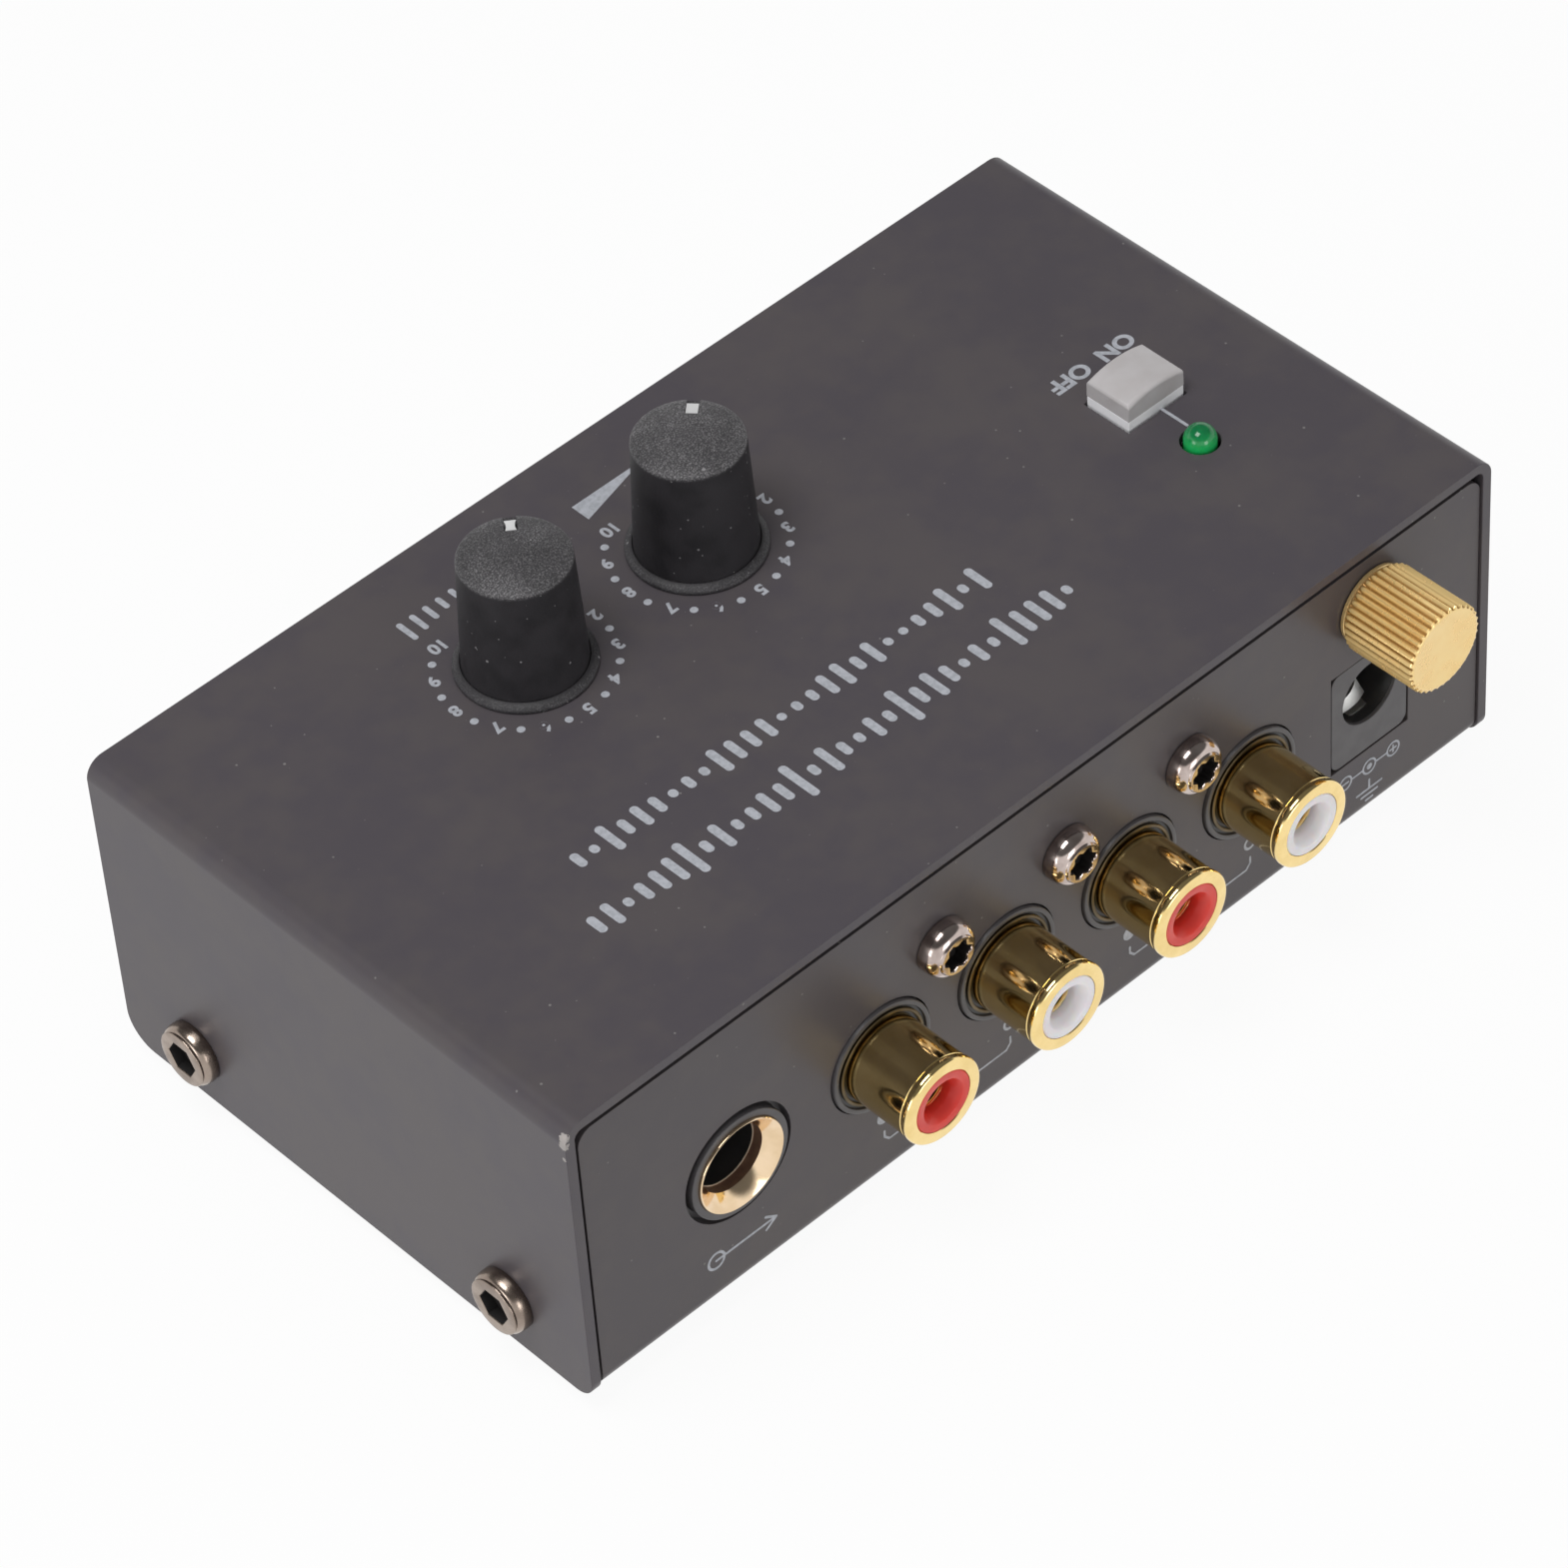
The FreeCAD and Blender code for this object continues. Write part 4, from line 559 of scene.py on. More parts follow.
class Face(Enum):
    """A side of the case, as the directions of a drawing's right, its up and the way out."""

    TOP = ((1, 0, 0), (0, 1, 0), (0, 0, 1))
    UNDERSIDE = ((1, 0, 0), (0, -1, 0), (0, 0, -1))
    REAR = ((-1, 0, 0), (0, 0, 1), (0, 1, 0))
    RIGHT_END = ((0, 1, 0), (0, 0, 1), (1, 0, 0))
    LEFT_END = ((0, -1, 0), (0, 0, 1), (-1, 0, 0))

    def matrix(self, place: Point) -> Matrix:
        """Give the way from a drawing in millimetres to the frame in metres.

        Args:
            place: the drawing's zero point in the frame, in millimetres.

        Returns:
            The matrix of the drawing.
        """
        axes = Matrix(self.value).transposed().to_4x4()
        return Matrix.Scale(MM, 4) @ Matrix.Translation(Vector(place)) @ axes


LOBES = 6
LOBE_RISE = 0.15
RIDGES = 36
RIDGE_DEEP = 0.08
RIDGE_POWER = 0.8


class Outline(Enum):
    """The form of a drawn shape's rings."""

    ROUND = "round"
    HEXAGON = "hexagon"
    LOBED = "six lobes"
    RIDGED = "straight ridges"

    def reach(self, angle: float) -> float:
        """Give the ring's reach at an angle.

        Args:
            angle: the angle in radians.

        Returns:
            The reach as a share of the ring's radius.
        """
        if self is Outline.HEXAGON:
            sector = math.tau / 6
            return math.cos(sector / 2) / math.cos(angle % sector - sector / 2)
        if self is Outline.LOBED:
            return 1 + LOBE_RISE * math.cos(LOBES * angle)
        if self is Outline.RIDGED:
            return 1 - RIDGE_DEEP * (0.5 - 0.5 * math.cos(RIDGES * angle)) ** RIDGE_POWER
        return 1.0


@dataclass(frozen=True)
class Ring:
    """One station of a drawn shape."""

    radius: float
    along: float
    outline: Outline = Outline.ROUND


def rings(*pairs: tuple[float, float], outline: Outline = Outline.ROUND) -> list[Ring]:
    """Give stations from (radius, along) pairs."""
    return [Ring(radius, along, outline) for radius, along in pairs]


def cup(radius: float, top: float, deep: float, outline: Outline) -> list[Ring]:
    """Give the stations of a thin cup that lines a screw's recess and holds its painted shade.

    Args:
        radius: the recess's radius.
        top: how far out the cup reaches.
        deep: how deep it is from there.
        outline: the recess's form.

    Returns:
        The stations from the middle of its back to the middle of its floor.
    """
    back, wall, play = 0.12, 0.05, 0.03
    return rings((0, top - deep - back), (radius + wall, top - deep - back), (radius + wall, top),
                 (radius - play, top), (radius - 2 * play, top - deep), (0, top - deep), outline=outline)


class Form:
    """A mesh in the making."""

    def __init__(self) -> None:
        """Start with nothing."""
        self.bm = bmesh.new()

    def add(self, part: bmesh.types.BMesh, place: Matrix) -> None:
        """Close a part, turn its faces outwards and put it in its place.

        Args:
            part: the part, which is used up.
            place: the drawing's matrix.
        """
        bmesh.ops.remove_doubles(part, verts=part.verts, dist=MERGE_MM)
        bmesh.ops.recalc_face_normals(part, faces=part.faces)
        part.transform(place)
        mesh = bpy.data.meshes.new("part")
        part.to_mesh(mesh)
        part.free()
        self.bm.from_mesh(mesh)
        bpy.data.meshes.remove(mesh)

    def turn(self, place: Matrix, profile: Profile, closed: bool = False, steps: int = STEPS) -> None:
        """Spin a profile round the way out.

        Args:
            place: the drawing's matrix.
            profile: (radius, along) pairs in millimetres.
            closed: whether the profile's last point joins its first.
            steps: how many steps make the round.
        """
        part = bmesh.new()
        points = [part.verts.new((radius, 0.0, along)) for radius, along in profile]
        lines = [part.edges.new(pair) for pair in zip(points, points[1:])]
        if closed:
            lines.append(part.edges.new((points[-1], points[0])))
        bmesh.ops.spin(part, geom=points + lines, cent=(0, 0, 0), axis=(0, 0, 1), angle=math.tau,
                       steps=steps, use_merge=True, use_duplicate=False)
        self.add(part, place)

    def draw(self, place: Matrix, stations: Sequence[Ring], steps: int = STEPS) -> None:
        """Draw a ring out from station to station, from its first centre to its last.

        Args:
            place: the drawing's matrix.
            stations: the rings on the way.
            steps: how many sides a ring has.
        """
        part = bmesh.new()
        bmesh.ops.create_circle(part, cap_ends=False, radius=1.0, segments=steps)
        edges = list(part.edges)
        corners = list(part.verts)
        for number, ring in enumerate(stations):
            if number:
                grown = bmesh.ops.extrude_edge_only(part, edges=edges)["geom"]
                edges = [item for item in grown if isinstance(item, bmesh.types.BMEdge)
                         and len(item.link_faces) == 1]
                corners = [item for item in grown if isinstance(item, bmesh.types.BMVert)]
            for corner in corners:
                angle = math.atan2(corner.co.y, corner.co.x)
                reach = max(ring.radius, SLIVER_MM) * ring.outline.reach(angle % math.tau)
                corner.co = (reach * math.cos(angle), reach * math.sin(angle), ring.along)
        self.add(part, place)

    def block(self, place: Matrix, low: Point, high: Point) -> None:
        """Add a box.

        Args:
            place: the drawing's matrix.
            low: its lowest corner.
            high: its highest corner.
        """
        part = bmesh.new()
        bmesh.ops.create_cube(part, size=1.0)
        size = [end - start for start, end in zip(low, high)]
        middle = [(end + start) / 2 for start, end in zip(low, high)]
        bmesh.ops.scale(part, vec=size, verts=part.verts)
        bmesh.ops.translate(part, vec=middle, verts=part.verts)
        self.add(part, place)

    def take(self, node: str) -> "Form":
        """Start from a merged copy of a CAD node's mesh.

        Args:
            node: the CAD node.

        Returns:
            The form itself.
        """
        self.bm.from_mesh(frame["nodes"][node].data)
        bmesh.ops.remove_doubles(self.bm, verts=self.bm.verts, dist=MERGE_MM * MM)
        bmesh.ops.dissolve_limit(self.bm, angle_limit=math.radians(FLAT_DEGREES), verts=self.bm.verts,
                                 edges=self.bm.edges)
        return self

    def soften(self, width: float, sharper: float = 32.0, segments: int = 2) -> "Form":
        """Round every edge that is sharper than an angle.

        Args:
            width: how far the rounding reaches, in millimetres.
            sharper: the least angle between two faces, in degrees.
            segments: how many faces make the rounding.

        Returns:
            The form itself.
        """
        limit = math.radians(sharper)
        edges = [edge for edge in self.bm.edges
                 if len(edge.link_faces) == 2 and edge.calc_face_angle() > limit]
        bmesh.ops.bevel(self.bm, geom=edges, offset=width * MM, segments=segments, profile=0.5,
                        affect="EDGES", material=-1, clamp_overlap=True)
        return self

    def shape(self, name: str) -> bpy.types.Object:
        """Turn the form into an object of the scene.

        Args:
            name: the object's name.

        Returns:
            The object.
        """
        mesh = bpy.data.meshes.new(name)
        self.bm.to_mesh(mesh)
        self.bm.free()
        made = bpy.data.objects.new(name, mesh)
        bpy.context.scene.collection.objects.link(made)
        return made

    def settle(self, name: str, finish: Finish, *nodes: str) -> bpy.types.Object:
        """Turn the form into a dressed piece."""
        return dress(self.shape(name), finish, *nodes)


def dress(piece: bpy.types.Object, finish: Finish, *nodes: str) -> bpy.types.Object:
    """Give a piece its finish, its shading and its place in the model.

    Args:
        piece: an object that is in its place.
        finish: its finish.
        nodes: the CAD nodes that it stands for, whose body it rides. Without any it rides the case.

    Returns:
        The piece.
    """
    piece.data.materials.clear()
    piece.data.materials.append(finish.material())
    piece.data.shade_smooth()
    piece.data.set_sharp_from_angle(angle=math.radians(SHARP_DEGREES))
    weighted = piece.modifiers.new("even_normals", "WEIGHTED_NORMAL")
    weighted.keep_sharp = True
    body = "case"
    if nodes:
        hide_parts(*nodes)
        body = frame["nodes"][nodes[0]]["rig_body"]
    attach(piece, body)
    log.info("%s: %d faces on %s", piece.name, len(piece.data.polygons), body)
    return piece


def carve(blank: bpy.types.Object, cutter: bpy.types.Object) -> None:
    """Cut one object out of another, and remove the cutter.

    Args:
        blank: the object that is cut.
        cutter: the object that cuts.
    """
    knife = blank.modifiers.new("cut", "BOOLEAN")
    knife.operation = "DIFFERENCE"
    knife.solver = "EXACT"
    knife.object = cutter
    graph = bpy.context.evaluated_depsgraph_get()
    cut = bpy.data.meshes.new_from_object(blank.evaluated_get(graph))
    blank.modifiers.clear()
    blank.data = cut
    bpy.data.objects.remove(cutter)


def spun(name: str, finish: Finish, node: str, places: Sequence[Matrix], profile: Profile,
         closed: bool = True, steps: int = STEPS) -> None:
    """Spin one profile at each of some places, as one piece.

    Args:
        name: the piece's name.
        finish: its finish.
        node: the CAD node that it stands for.
        places: the drawings' matrices.
        profile: (radius, along) pairs in millimetres.
        closed: whether the profile's last point joins its first.
        steps: how many steps make the round.
    """
    form = Form()
    for place in places:
        form.turn(place, profile, closed, steps)
    form.settle(name, finish, node)


def drawn(name: str, finish: Finish, node: str, places: Sequence[Matrix], stations: Sequence[Ring],
          steps: int = STEPS) -> None:
    """Draw the same stations at each of some places, as one piece.

    Args:
        name: the piece's name.
        finish: its finish.
        node: the CAD node that it stands for.
        places: the drawings' matrices.
        stations: the rings on the way.
        steps: how many sides a ring has.
    """
    form = Form()
    for place in places:
        form.draw(place, stations, steps)
    form.settle(name, finish, node)


@dataclass(frozen=True)
class Span:
    """A CAD node's box at rest, in millimetres."""

    low: Vector
    high: Vector

    @classmethod
    def of(cls, node: str) -> "Span":
        """Measure a node."""
        low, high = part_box(node)
        return cls(low / MM, high / MM)

    @property
    def middle(self) -> Vector:
        """Give the middle of the box."""
        return (self.low + self.high) / 2

    def row(self, count: int, radius: float) -> list[float]:
        """Place round things in a row from end to end of the box.

        Args:
            count: how many there are, at least two.
            radius: the radius of each.

        Returns:
            Their X places.
        """
        first = self.low.x + radius
        pitch = (self.high.x - self.low.x - 2 * radius) / (count - 1)
        return [first + number * pitch for number in range(count)]

    def rear(self, along: float) -> Matrix:
        """Give the matrix of a drawing that looks to the rear from the box's middle, at a Y place."""
        return Face.REAR.matrix((self.middle.x, along, self.middle.z))


# Case


@dataclass
class CaseShell:
    """The cover and the tray, with their feet."""

    edge: float = 0.15
    thick: float = 1.0
    corner: float = 2.0
    slit: float = 0.52
    side_slit: float = 0.2
    side_close: float = 0.1
    play: float = 0.05
    foot_radius: float = 4.5
    foot_slope: float = 0.35
    foot_round: float = 0.35
    foot_dish: float = 0.3

    def build(self) -> None:
        """Make the sheets and the feet."""
        cover = Form().take("top_cover").soften(self.edge, segments=3)
        cover.settle("painted_cover", COVER_PAINT, "top_cover")
        self.tray()
        self.feet()

    def tray(self) -> None:
        """Make the tray, with a slit between its rear panel and the cover that can be seen from above."""
        span = Span.of("bottom_tray")
        form = Form().take("bottom_tray")
        for corner in form.bm.verts:
            place = corner.co / MM
            if place.y < span.high.y - self.thick - self.play:
                continue
            if place.z > span.high.z - self.corner:
                corner.co.z -= self.slit * MM
            if place.x > span.high.x - self.corner:
                corner.co.x -= self.side_slit * MM
            if place.x < span.low.x + self.corner:
                corner.co.x -= self.side_close * MM
        form.soften(self.edge).settle("painted_tray", CASE_PAINT, "bottom_tray")

    def feet(self) -> None:
        """Make four round feet, dished below."""
        span = Span.of("rubber_feet")
        tall = span.high.z - span.low.z
        radius, slope = self.foot_radius, self.foot_slope
        profile = [(0, 0), (radius, 0), (radius, 0.25), (radius - slope, tall - self.foot_round),
                   (radius - slope - 0.1, tall - 0.12), (radius - slope - self.foot_round, tall),
                   (radius * 0.6, tall), (radius * 0.5, tall - self.foot_dish), (0, tall - self.foot_dish)]
        places = [Face.UNDERSIDE.matrix((x_place, y_place, span.high.z))
                  for x_place in (span.low.x + radius, span.high.x - radius)
                  for y_place in (span.low.y + radius, span.high.y - radius)]
        spun("rubber_feet_dished", FOOT_RUBBER, "rubber_feet", places, profile, closed=False)


@dataclass
class EndScrews:
    """Four socket-head screws in the case's ends: flat face, rim line and domed flank."""

    radius: float = 2.92
    face_radius: float = 2.6
    tall: float = 1.65
    socket: float = 1.68
    socket_deep: float = 1.1
    rim_clear: float = 0.1
    shank: float = 1.45
    shank_long: float = 3.6

    def build(self) -> None:
        """Make the four screws as one piece, and the painted-shade linings of their sockets as another."""
        span = Span.of("cover_screws")
        seat = (span.high.z - span.low.z) / 2
        ends = ((Face.RIGHT_END, span.high.x - self.tall), (Face.LEFT_END, span.low.x + self.tall))
        places = [face.matrix((x_place, y_place, span.middle.z)) for face, x_place in ends
                  for y_place in (span.low.y + seat, span.high.y - seat)]
        lining = cup(self.socket, self.tall - self.rim_clear, self.socket_deep - self.rim_clear,
                     Outline.HEXAGON)
        drawn("end_screws", SCREW_NICKEL, "cover_screws", places, self.stations())
        drawn("end_screw_socket_shade", SOCKET_PAINTED_SHADE, "cover_screws", places, lining)

    def stations(self) -> list[Ring]:
        """Draw the screw from its tip to the bottom of its socket.

        Returns:
            The rings in order.
        """
        radius, face, tall = self.radius, self.face_radius, self.tall
        flank = rings((0, -self.shank_long), (self.shank, -self.shank_long), (self.shank, 0.0),
                      (radius - 0.12, 0.0), (radius - 0.02, 0.12), (radius, 0.45), (radius - 0.04, 0.88),
                      (radius - 0.14, 1.18), (radius - 0.26, 1.34), (face - 0.02, 1.39), (face - 0.07, 1.42),
                      (face - 0.07, 1.46), (face - 0.01, 1.49), (face, 1.53), (face, tall - 0.06),
                      (face - 0.03, tall - 0.02), (face - 0.1, tall), (self.socket + 0.25, tall))
        hole = rings((self.socket + 0.06, tall - 0.01), (self.socket, tall - 0.07),
                     (self.socket - 0.02, tall - self.socket_deep), (0, tall - self.socket_deep - 0.15),
                     outline=Outline.HEXAGON)
        return flank + hole


@dataclass
class SocketScrews:
    """Three pan-head screws with six-lobed recesses, between and above the phono sockets."""

    count: int = 3
    radius: float = 2.62
    tall: float = 2.1
    recess: float = 1.32
    recess_deep: float = 1.3
    rim_clear: float = 0.16
    shank: float = 1.25
    shank_long: float = 8.8

    def build(self) -> None:
        """Make the three screws as one piece, and the painted-shade linings of their recesses as another."""
        span = Span.of("rca_screws")
        panel = Span.of("bottom_tray").high.y
        places = [Face.REAR.matrix((x_place, panel, span.middle.z))
                  for x_place in span.row(self.count, (span.high.z - span.low.z) / 2)]
        lining = cup(self.recess, self.tall - self.rim_clear, self.recess_deep - self.rim_clear,
                     Outline.LOBED)
        drawn("socket_screws", BRIGHT_NICKEL, "rca_screws", places, self.stations())
        drawn("socket_screw_recess_shade", RECESS_PAINTED_SHADE, "rca_screws", places, lining)

    def stations(self) -> list[Ring]:
        """Draw the screw from its tip to the bottom of its recess.

        Returns:
            The rings in order.
        """
        radius, tall = self.radius, self.tall
        head = rings((0, -self.shank_long), (self.shank, -self.shank_long), (self.shank, 0.0),
                     (radius - 0.15, 0.0), (radius - 0.03, 0.1), (radius, 0.45), (radius - 0.04, 0.95),
                     (radius - 0.18, 1.38), (radius - 0.42, 1.7), (radius - 0.66, 1.86), (radius - 0.74, 1.9),
                     (radius - 0.78, tall - 0.1), (radius - 0.86, tall), (self.recess + 0.2, tall))
        hole = rings((self.recess + 0.05, tall - 0.03), (self.recess, tall - 0.12),
                     (self.recess - 0.03, tall - self.recess_deep), (0, tall - self.recess_deep - 0.1),
                     outline=Outline.LOBED)
        return head + hole


# Rear connectors


@dataclass
class PhonoSockets:
    """Four phono sockets in one moulding: gold barrels, coloured inserts and contacts."""

    count: int = 4
    flange: float = 4.74
    barrel: float = 4.0
    barrel_seat: float = 3.95
    rim: float = 4.08
    rim_bore: float = 2.95
    bore: float = 3.75
    funnel: float = 2.12
    pin_hole: float = 1.64
    insert_bore: float = 1.97
    contact_bore: float = 1.62
    contact: float = 1.93
    contact_steps: int = 48
    sunk: float = 0.3
    ring_bore: float = 4.83
    ring: float = 5.31
    ring_rise: float = 0.24
    ring_deep: float = 0.3
    flange_bore: float = 4.27
    flange_edge: float = 4.56
    flange_rise: float = 0.3
    edge: float = 0.1

    def __post_init__(self) -> None:
        """Find the row of sockets in the frame."""
        barrels = Span.of("rca_barrels")
        self.panel = Span.of("bottom_tray").high.y
        self.face = barrels.high.y - self.panel
        self.back = barrels.low.y - self.panel
        self.boss = Span.of("rca_housing").high.y - self.panel - self.sunk
        self.places = [Face.REAR.matrix((x_place, self.panel, barrels.middle.z))
                       for x_place in barrels.row(self.count, self.flange)]

    def build(self) -> None:
        """Make the moulding with its bosses sunk in their rings, the barrels, the inserts and contacts."""
        housing = Form().take("rca_housing")
        for corner in housing.bm.verts:
            if corner.co.y / MM > self.panel + self.edge:
                corner.co.y -= self.sunk * MM
        housing.soften(self.edge).settle("socket_moulding", BLACK_PLASTIC, "rca_housing")
        self.rings()
        self.barrels()
        self.inserts("red_inserts", RED_PLASTIC, "rca_inserts_red", 1)
        self.inserts("white_inserts", WHITE_PLASTIC, "rca_inserts_white", 0)
        self.contacts()

    def rings(self) -> None:
        """Make the raised ring round each boss, and the flange at each barrel's foot."""
        near, far, foot, front = self.ring_bore, self.ring, -self.ring_deep, self.boss + self.ring_rise
        # The boss rings are black plastic lightened as a painted reflection of the floor.
        spun("boss_rings", BLACK_PLASTIC_PAINTED_REFLECTION, "rca_housing", self.places,
             [(near, foot), (near, front - 0.08), (near + 0.05, front - 0.01), (near + 0.11, front),
              (far - 0.12, front), (far - 0.04, front - 0.03), (far, front - 0.1), (far, foot)],
             steps=FINE_STEPS)
        near, far, foot, front = self.flange_bore, self.flange_edge, self.boss, self.boss + self.flange_rise
        # The flanges are gold plating darkened with painted shade.
        spun("barrel_flanges", GOLD_PAINTED_SHADE, "rca_barrels", self.places,
             [(near, foot), (near, front - 0.05), (near + 0.05, front), (far - 0.06, front),
              (far, front - 0.06), (far, foot)], steps=FINE_STEPS)

    def barrels(self) -> None:
        """Make the barrels with their rolled front rims."""
        front, seat, radius, rim = self.face, self.boss, self.barrel, self.rim
        neck = self.barrel_seat
        profile = [(self.bore, self.back), (neck, self.back), (neck, seat), (radius, seat + 0.05),
                   (radius, front - 0.92), (radius - 0.05, front - 0.86),
                   (radius + 0.02, front - 0.78), (rim - 0.02, front - 0.66), (rim, front - 0.5),
                   (rim, front - 0.3), (rim - 0.05, front - 0.13), (rim - 0.14, front - 0.04),
                   (rim - 0.26, front), (self.rim_bore + 0.06, front), (self.rim_bore, front - 0.06),
                   (self.rim_bore, front - 0.55), (self.bore, front - 0.6)]
        spun("gold_barrels", POLISHED_GOLD, "rca_barrels", self.places, profile, steps=FINE_STEPS)

    def inserts(self, name: str, finish: Finish, node: str, first: int) -> None:
        """Make every second insert, with its funnel and its hole.

        Args:
            name: the piece's name.
            finish: its finish.
            node: the CAD node that it stands for.
            first: the number of its first socket.
        """
        front, back = self.face - 0.04, self.back + 0.1
        outer, rim, hole, wide = self.bore - 0.04, self.rim_bore - 0.03, self.pin_hole, self.insert_bore
        profile = [(wide, back), (outer, back), (outer, front - 0.62), (rim, front - 0.6),
                   (rim, front - 0.06), (rim - 0.06, front), (self.funnel + 0.08, front),
                   (self.funnel, front - 0.05), (hole + 0.1, front - 0.88), (hole, front - 1.05),
                   (hole, front - 1.7), (wide, front - 1.75)]
        spun(name, finish, node, self.places[first::2], profile)

    def contacts(self) -> None:
        """Make the spring tubes, with a rounded lip behind each hole."""
        back = Span.of("rca_contacts").low.y - self.panel
        front = self.face - 1.8
        bore, outer = self.contact_bore, self.contact
        profile = [(bore, back), (outer, back), (outer, front - 0.1), (outer - 0.07, front),
                   (bore + 0.12, front - 0.02), (bore + 0.02, front - 0.2), (bore, front - 0.5)]
        spun("spring_contacts", POLISHED_GOLD, "rca_contacts", self.places, profile,
             steps=self.contact_steps)


@dataclass
class OutputSocket:
    """The wide output socket: black body, gold flare and a dark throat."""

    outer: float = 4.46
    flare: float = 4.36
    bore: float = 3.2
    wall: float = 3.9
    play: float = 0.02
    flare_deep: float = 1.15
    sleeve_deep: float = 2.2
    proud: float = 0.2

    def build(self) -> None:
        """Make the body, the gold flare, the bronze sleeve behind it, its lip in a painted highlight and the
        throat.
        """
        Form().take("output_jack_body").soften(0.1).settle("output_body", BLACK_PLASTIC_PAINTED_REFLECTION, "output_jack_body")
        span = Span.of("output_jack_ferrule")
        place = span.rear(span.high.y + self.proud)
        deep = span.high.y - span.low.y
        outer, bore, wall = self.outer, self.bore, self.wall
        profile = [(outer, -deep), (outer, -0.14), (outer - 0.02, -0.04), (outer - 0.06, 0),
                   (self.flare, 0), (self.flare - 0.05, -0.03), (bore + 0.04, -self.flare_deep),
                   (bore, -self.flare_deep - 0.05), (wall, -self.flare_deep - 0.05), (wall, -deep)]
        spun("output_gold_flare", PALE_GOLD, "output_jack_ferrule", [place], profile, steps=FINE_STEPS)
        self.tube(place, bore, -self.flare_deep - 0.06, -self.sleeve_deep, "output_sleeve", BRONZE)
        # The lip is a painted highlight.
        self.tube(place, bore - 0.07, -self.sleeve_deep, -self.sleeve_deep - 0.08, "output_lip", LIP_GOLD_PAINTED_HIGHLIGHT)
        self.tube(place, bore, -self.sleeve_deep - 0.09, -deep, "output_throat", BLACK_PLASTIC)

    def tube(self, place: Matrix, inner: float, near: float, far: float, name: str, finish: Finish) -> None:
        """Make one stretch of the socket's lining.

        Args:
            place: the socket's matrix.
            inner: the stretch's inner radius.
            near: where it starts, along the way out.
            far: where it ends.
            name: the piece's name.
            finish: its finish.
        """
        outer = self.wall - self.play
        spun(name, finish, "output_jack_ferrule", [place],
             [(inner, far), (outer, far), (outer, near), (inner, near)], steps=FINE_STEPS)


@dataclass
class PowerInlet:
    """The power inlet: chamfered body, centre pin and bowed sleeve contact."""

    pin_round: float = 0.35
    pin_steps: int = 48
    bow: float = 0.5
    swell: float = 0.3
    leaf: float = 0.14
    bore: float = 3.18
    bore_deep: float = 9.8
    lip_deep: float = 0.3
    play: float = 0.05

    def build(self) -> None:
        """Make the body, the pin and the contact."""
        Form().take("dc_jack_body").soften(0.08).settle("inlet_body", BLACK_PLASTIC_PAINTED_REFLECTION, "dc_jack_body")
        span = Span.of("dc_jack_pin")
        radius = (span.high.x - span.low.x) / 2
        long = span.high.y - span.low.y
        spun("inlet_pin", TIN, "dc_jack_pin", [span.rear(span.high.y)],
             [(0, -long), (radius, -long), (radius, -0.8), (radius - 0.1, -0.45),
              (radius - self.pin_round, -0.12), (radius - 0.6, 0), (0, 0)], closed=False,
             steps=self.pin_steps)
        mouth = Span.of("dc_jack_body").high.y
        wall, outer, near = self.bore - self.play, self.bore + self.play, radius + 0.02
        floor, back, lip = self.play - self.bore_deep, -self.play - self.bore_deep, -self.lip_deep
        spun("inlet_bore_lining", BLACK_PLASTIC, "dc_jack_body", [span.rear(mouth)],
             [(near, floor), (wall, floor), (wall, lip), (outer, lip), (outer, back), (near, back)])
        self.contact()

    def contact(self) -> None:
        """Make the sleeve contact, a strip that bows up along its length and curls at its tip."""
        span = Span.of("dc_jack_contact")
        strip = bmesh.new()
        bmesh.ops.create_grid(strip, x_segments=8, y_segments=24, size=0.5)
        size = span.high - span.low
        for corner in strip.verts:
            share = corner.co.y + 0.5
            across = 2 * corner.co.x
            lift = self.bow * math.sin(math.pi * share) ** 2 + 0.12 * across * across
            corner.co = (size.x * corner.co.x * (0.96 - 0.1 * share), size.y * corner.co.y, lift)
        bmesh.ops.solidify(strip, geom=list(strip.faces), thickness=self.leaf)
        form = Form()
        form.add(strip, Face.TOP.matrix((span.middle.x, span.middle.y, span.low.z + 0.16)))
        axis = Span.of("dc_jack_pin").middle.z
        form.add(self.curl(), Face.REAR.matrix((span.middle.x, span.high.y, axis)))
        form.settle("inlet_contact", GRAINY_TIN, "dc_jack_contact")

    def curl(self) -> bmesh.types.BMesh:
        """Make the contact's broad curled end, which shows in the mouth of the inlet.

        Returns:
            The end, drawn about the pin's axis.
        """
        low_left, high_left = Vector((-1.9, -2.1)), Vector((-1.75, -0.6))
        low_right, high_right = Vector((1.2, -2.0)), Vector((0.1, 0.45))
        leaf = bmesh.new()
        bmesh.ops.create_grid(leaf, x_segments=10, y_segments=10, size=0.5)
        for corner in leaf.verts:
            across = corner.co.x + 0.5
            up = corner.co.y + 0.5
            flat = low_left.lerp(high_left, up).lerp(low_right.lerp(high_right, up), across)
            corner.co = (flat.x, flat.y, self.swell * math.sin(math.pi * across * 0.9) - 0.5 * across)
        bmesh.ops.solidify(leaf, geom=list(leaf.faces), thickness=self.leaf)
        return leaf


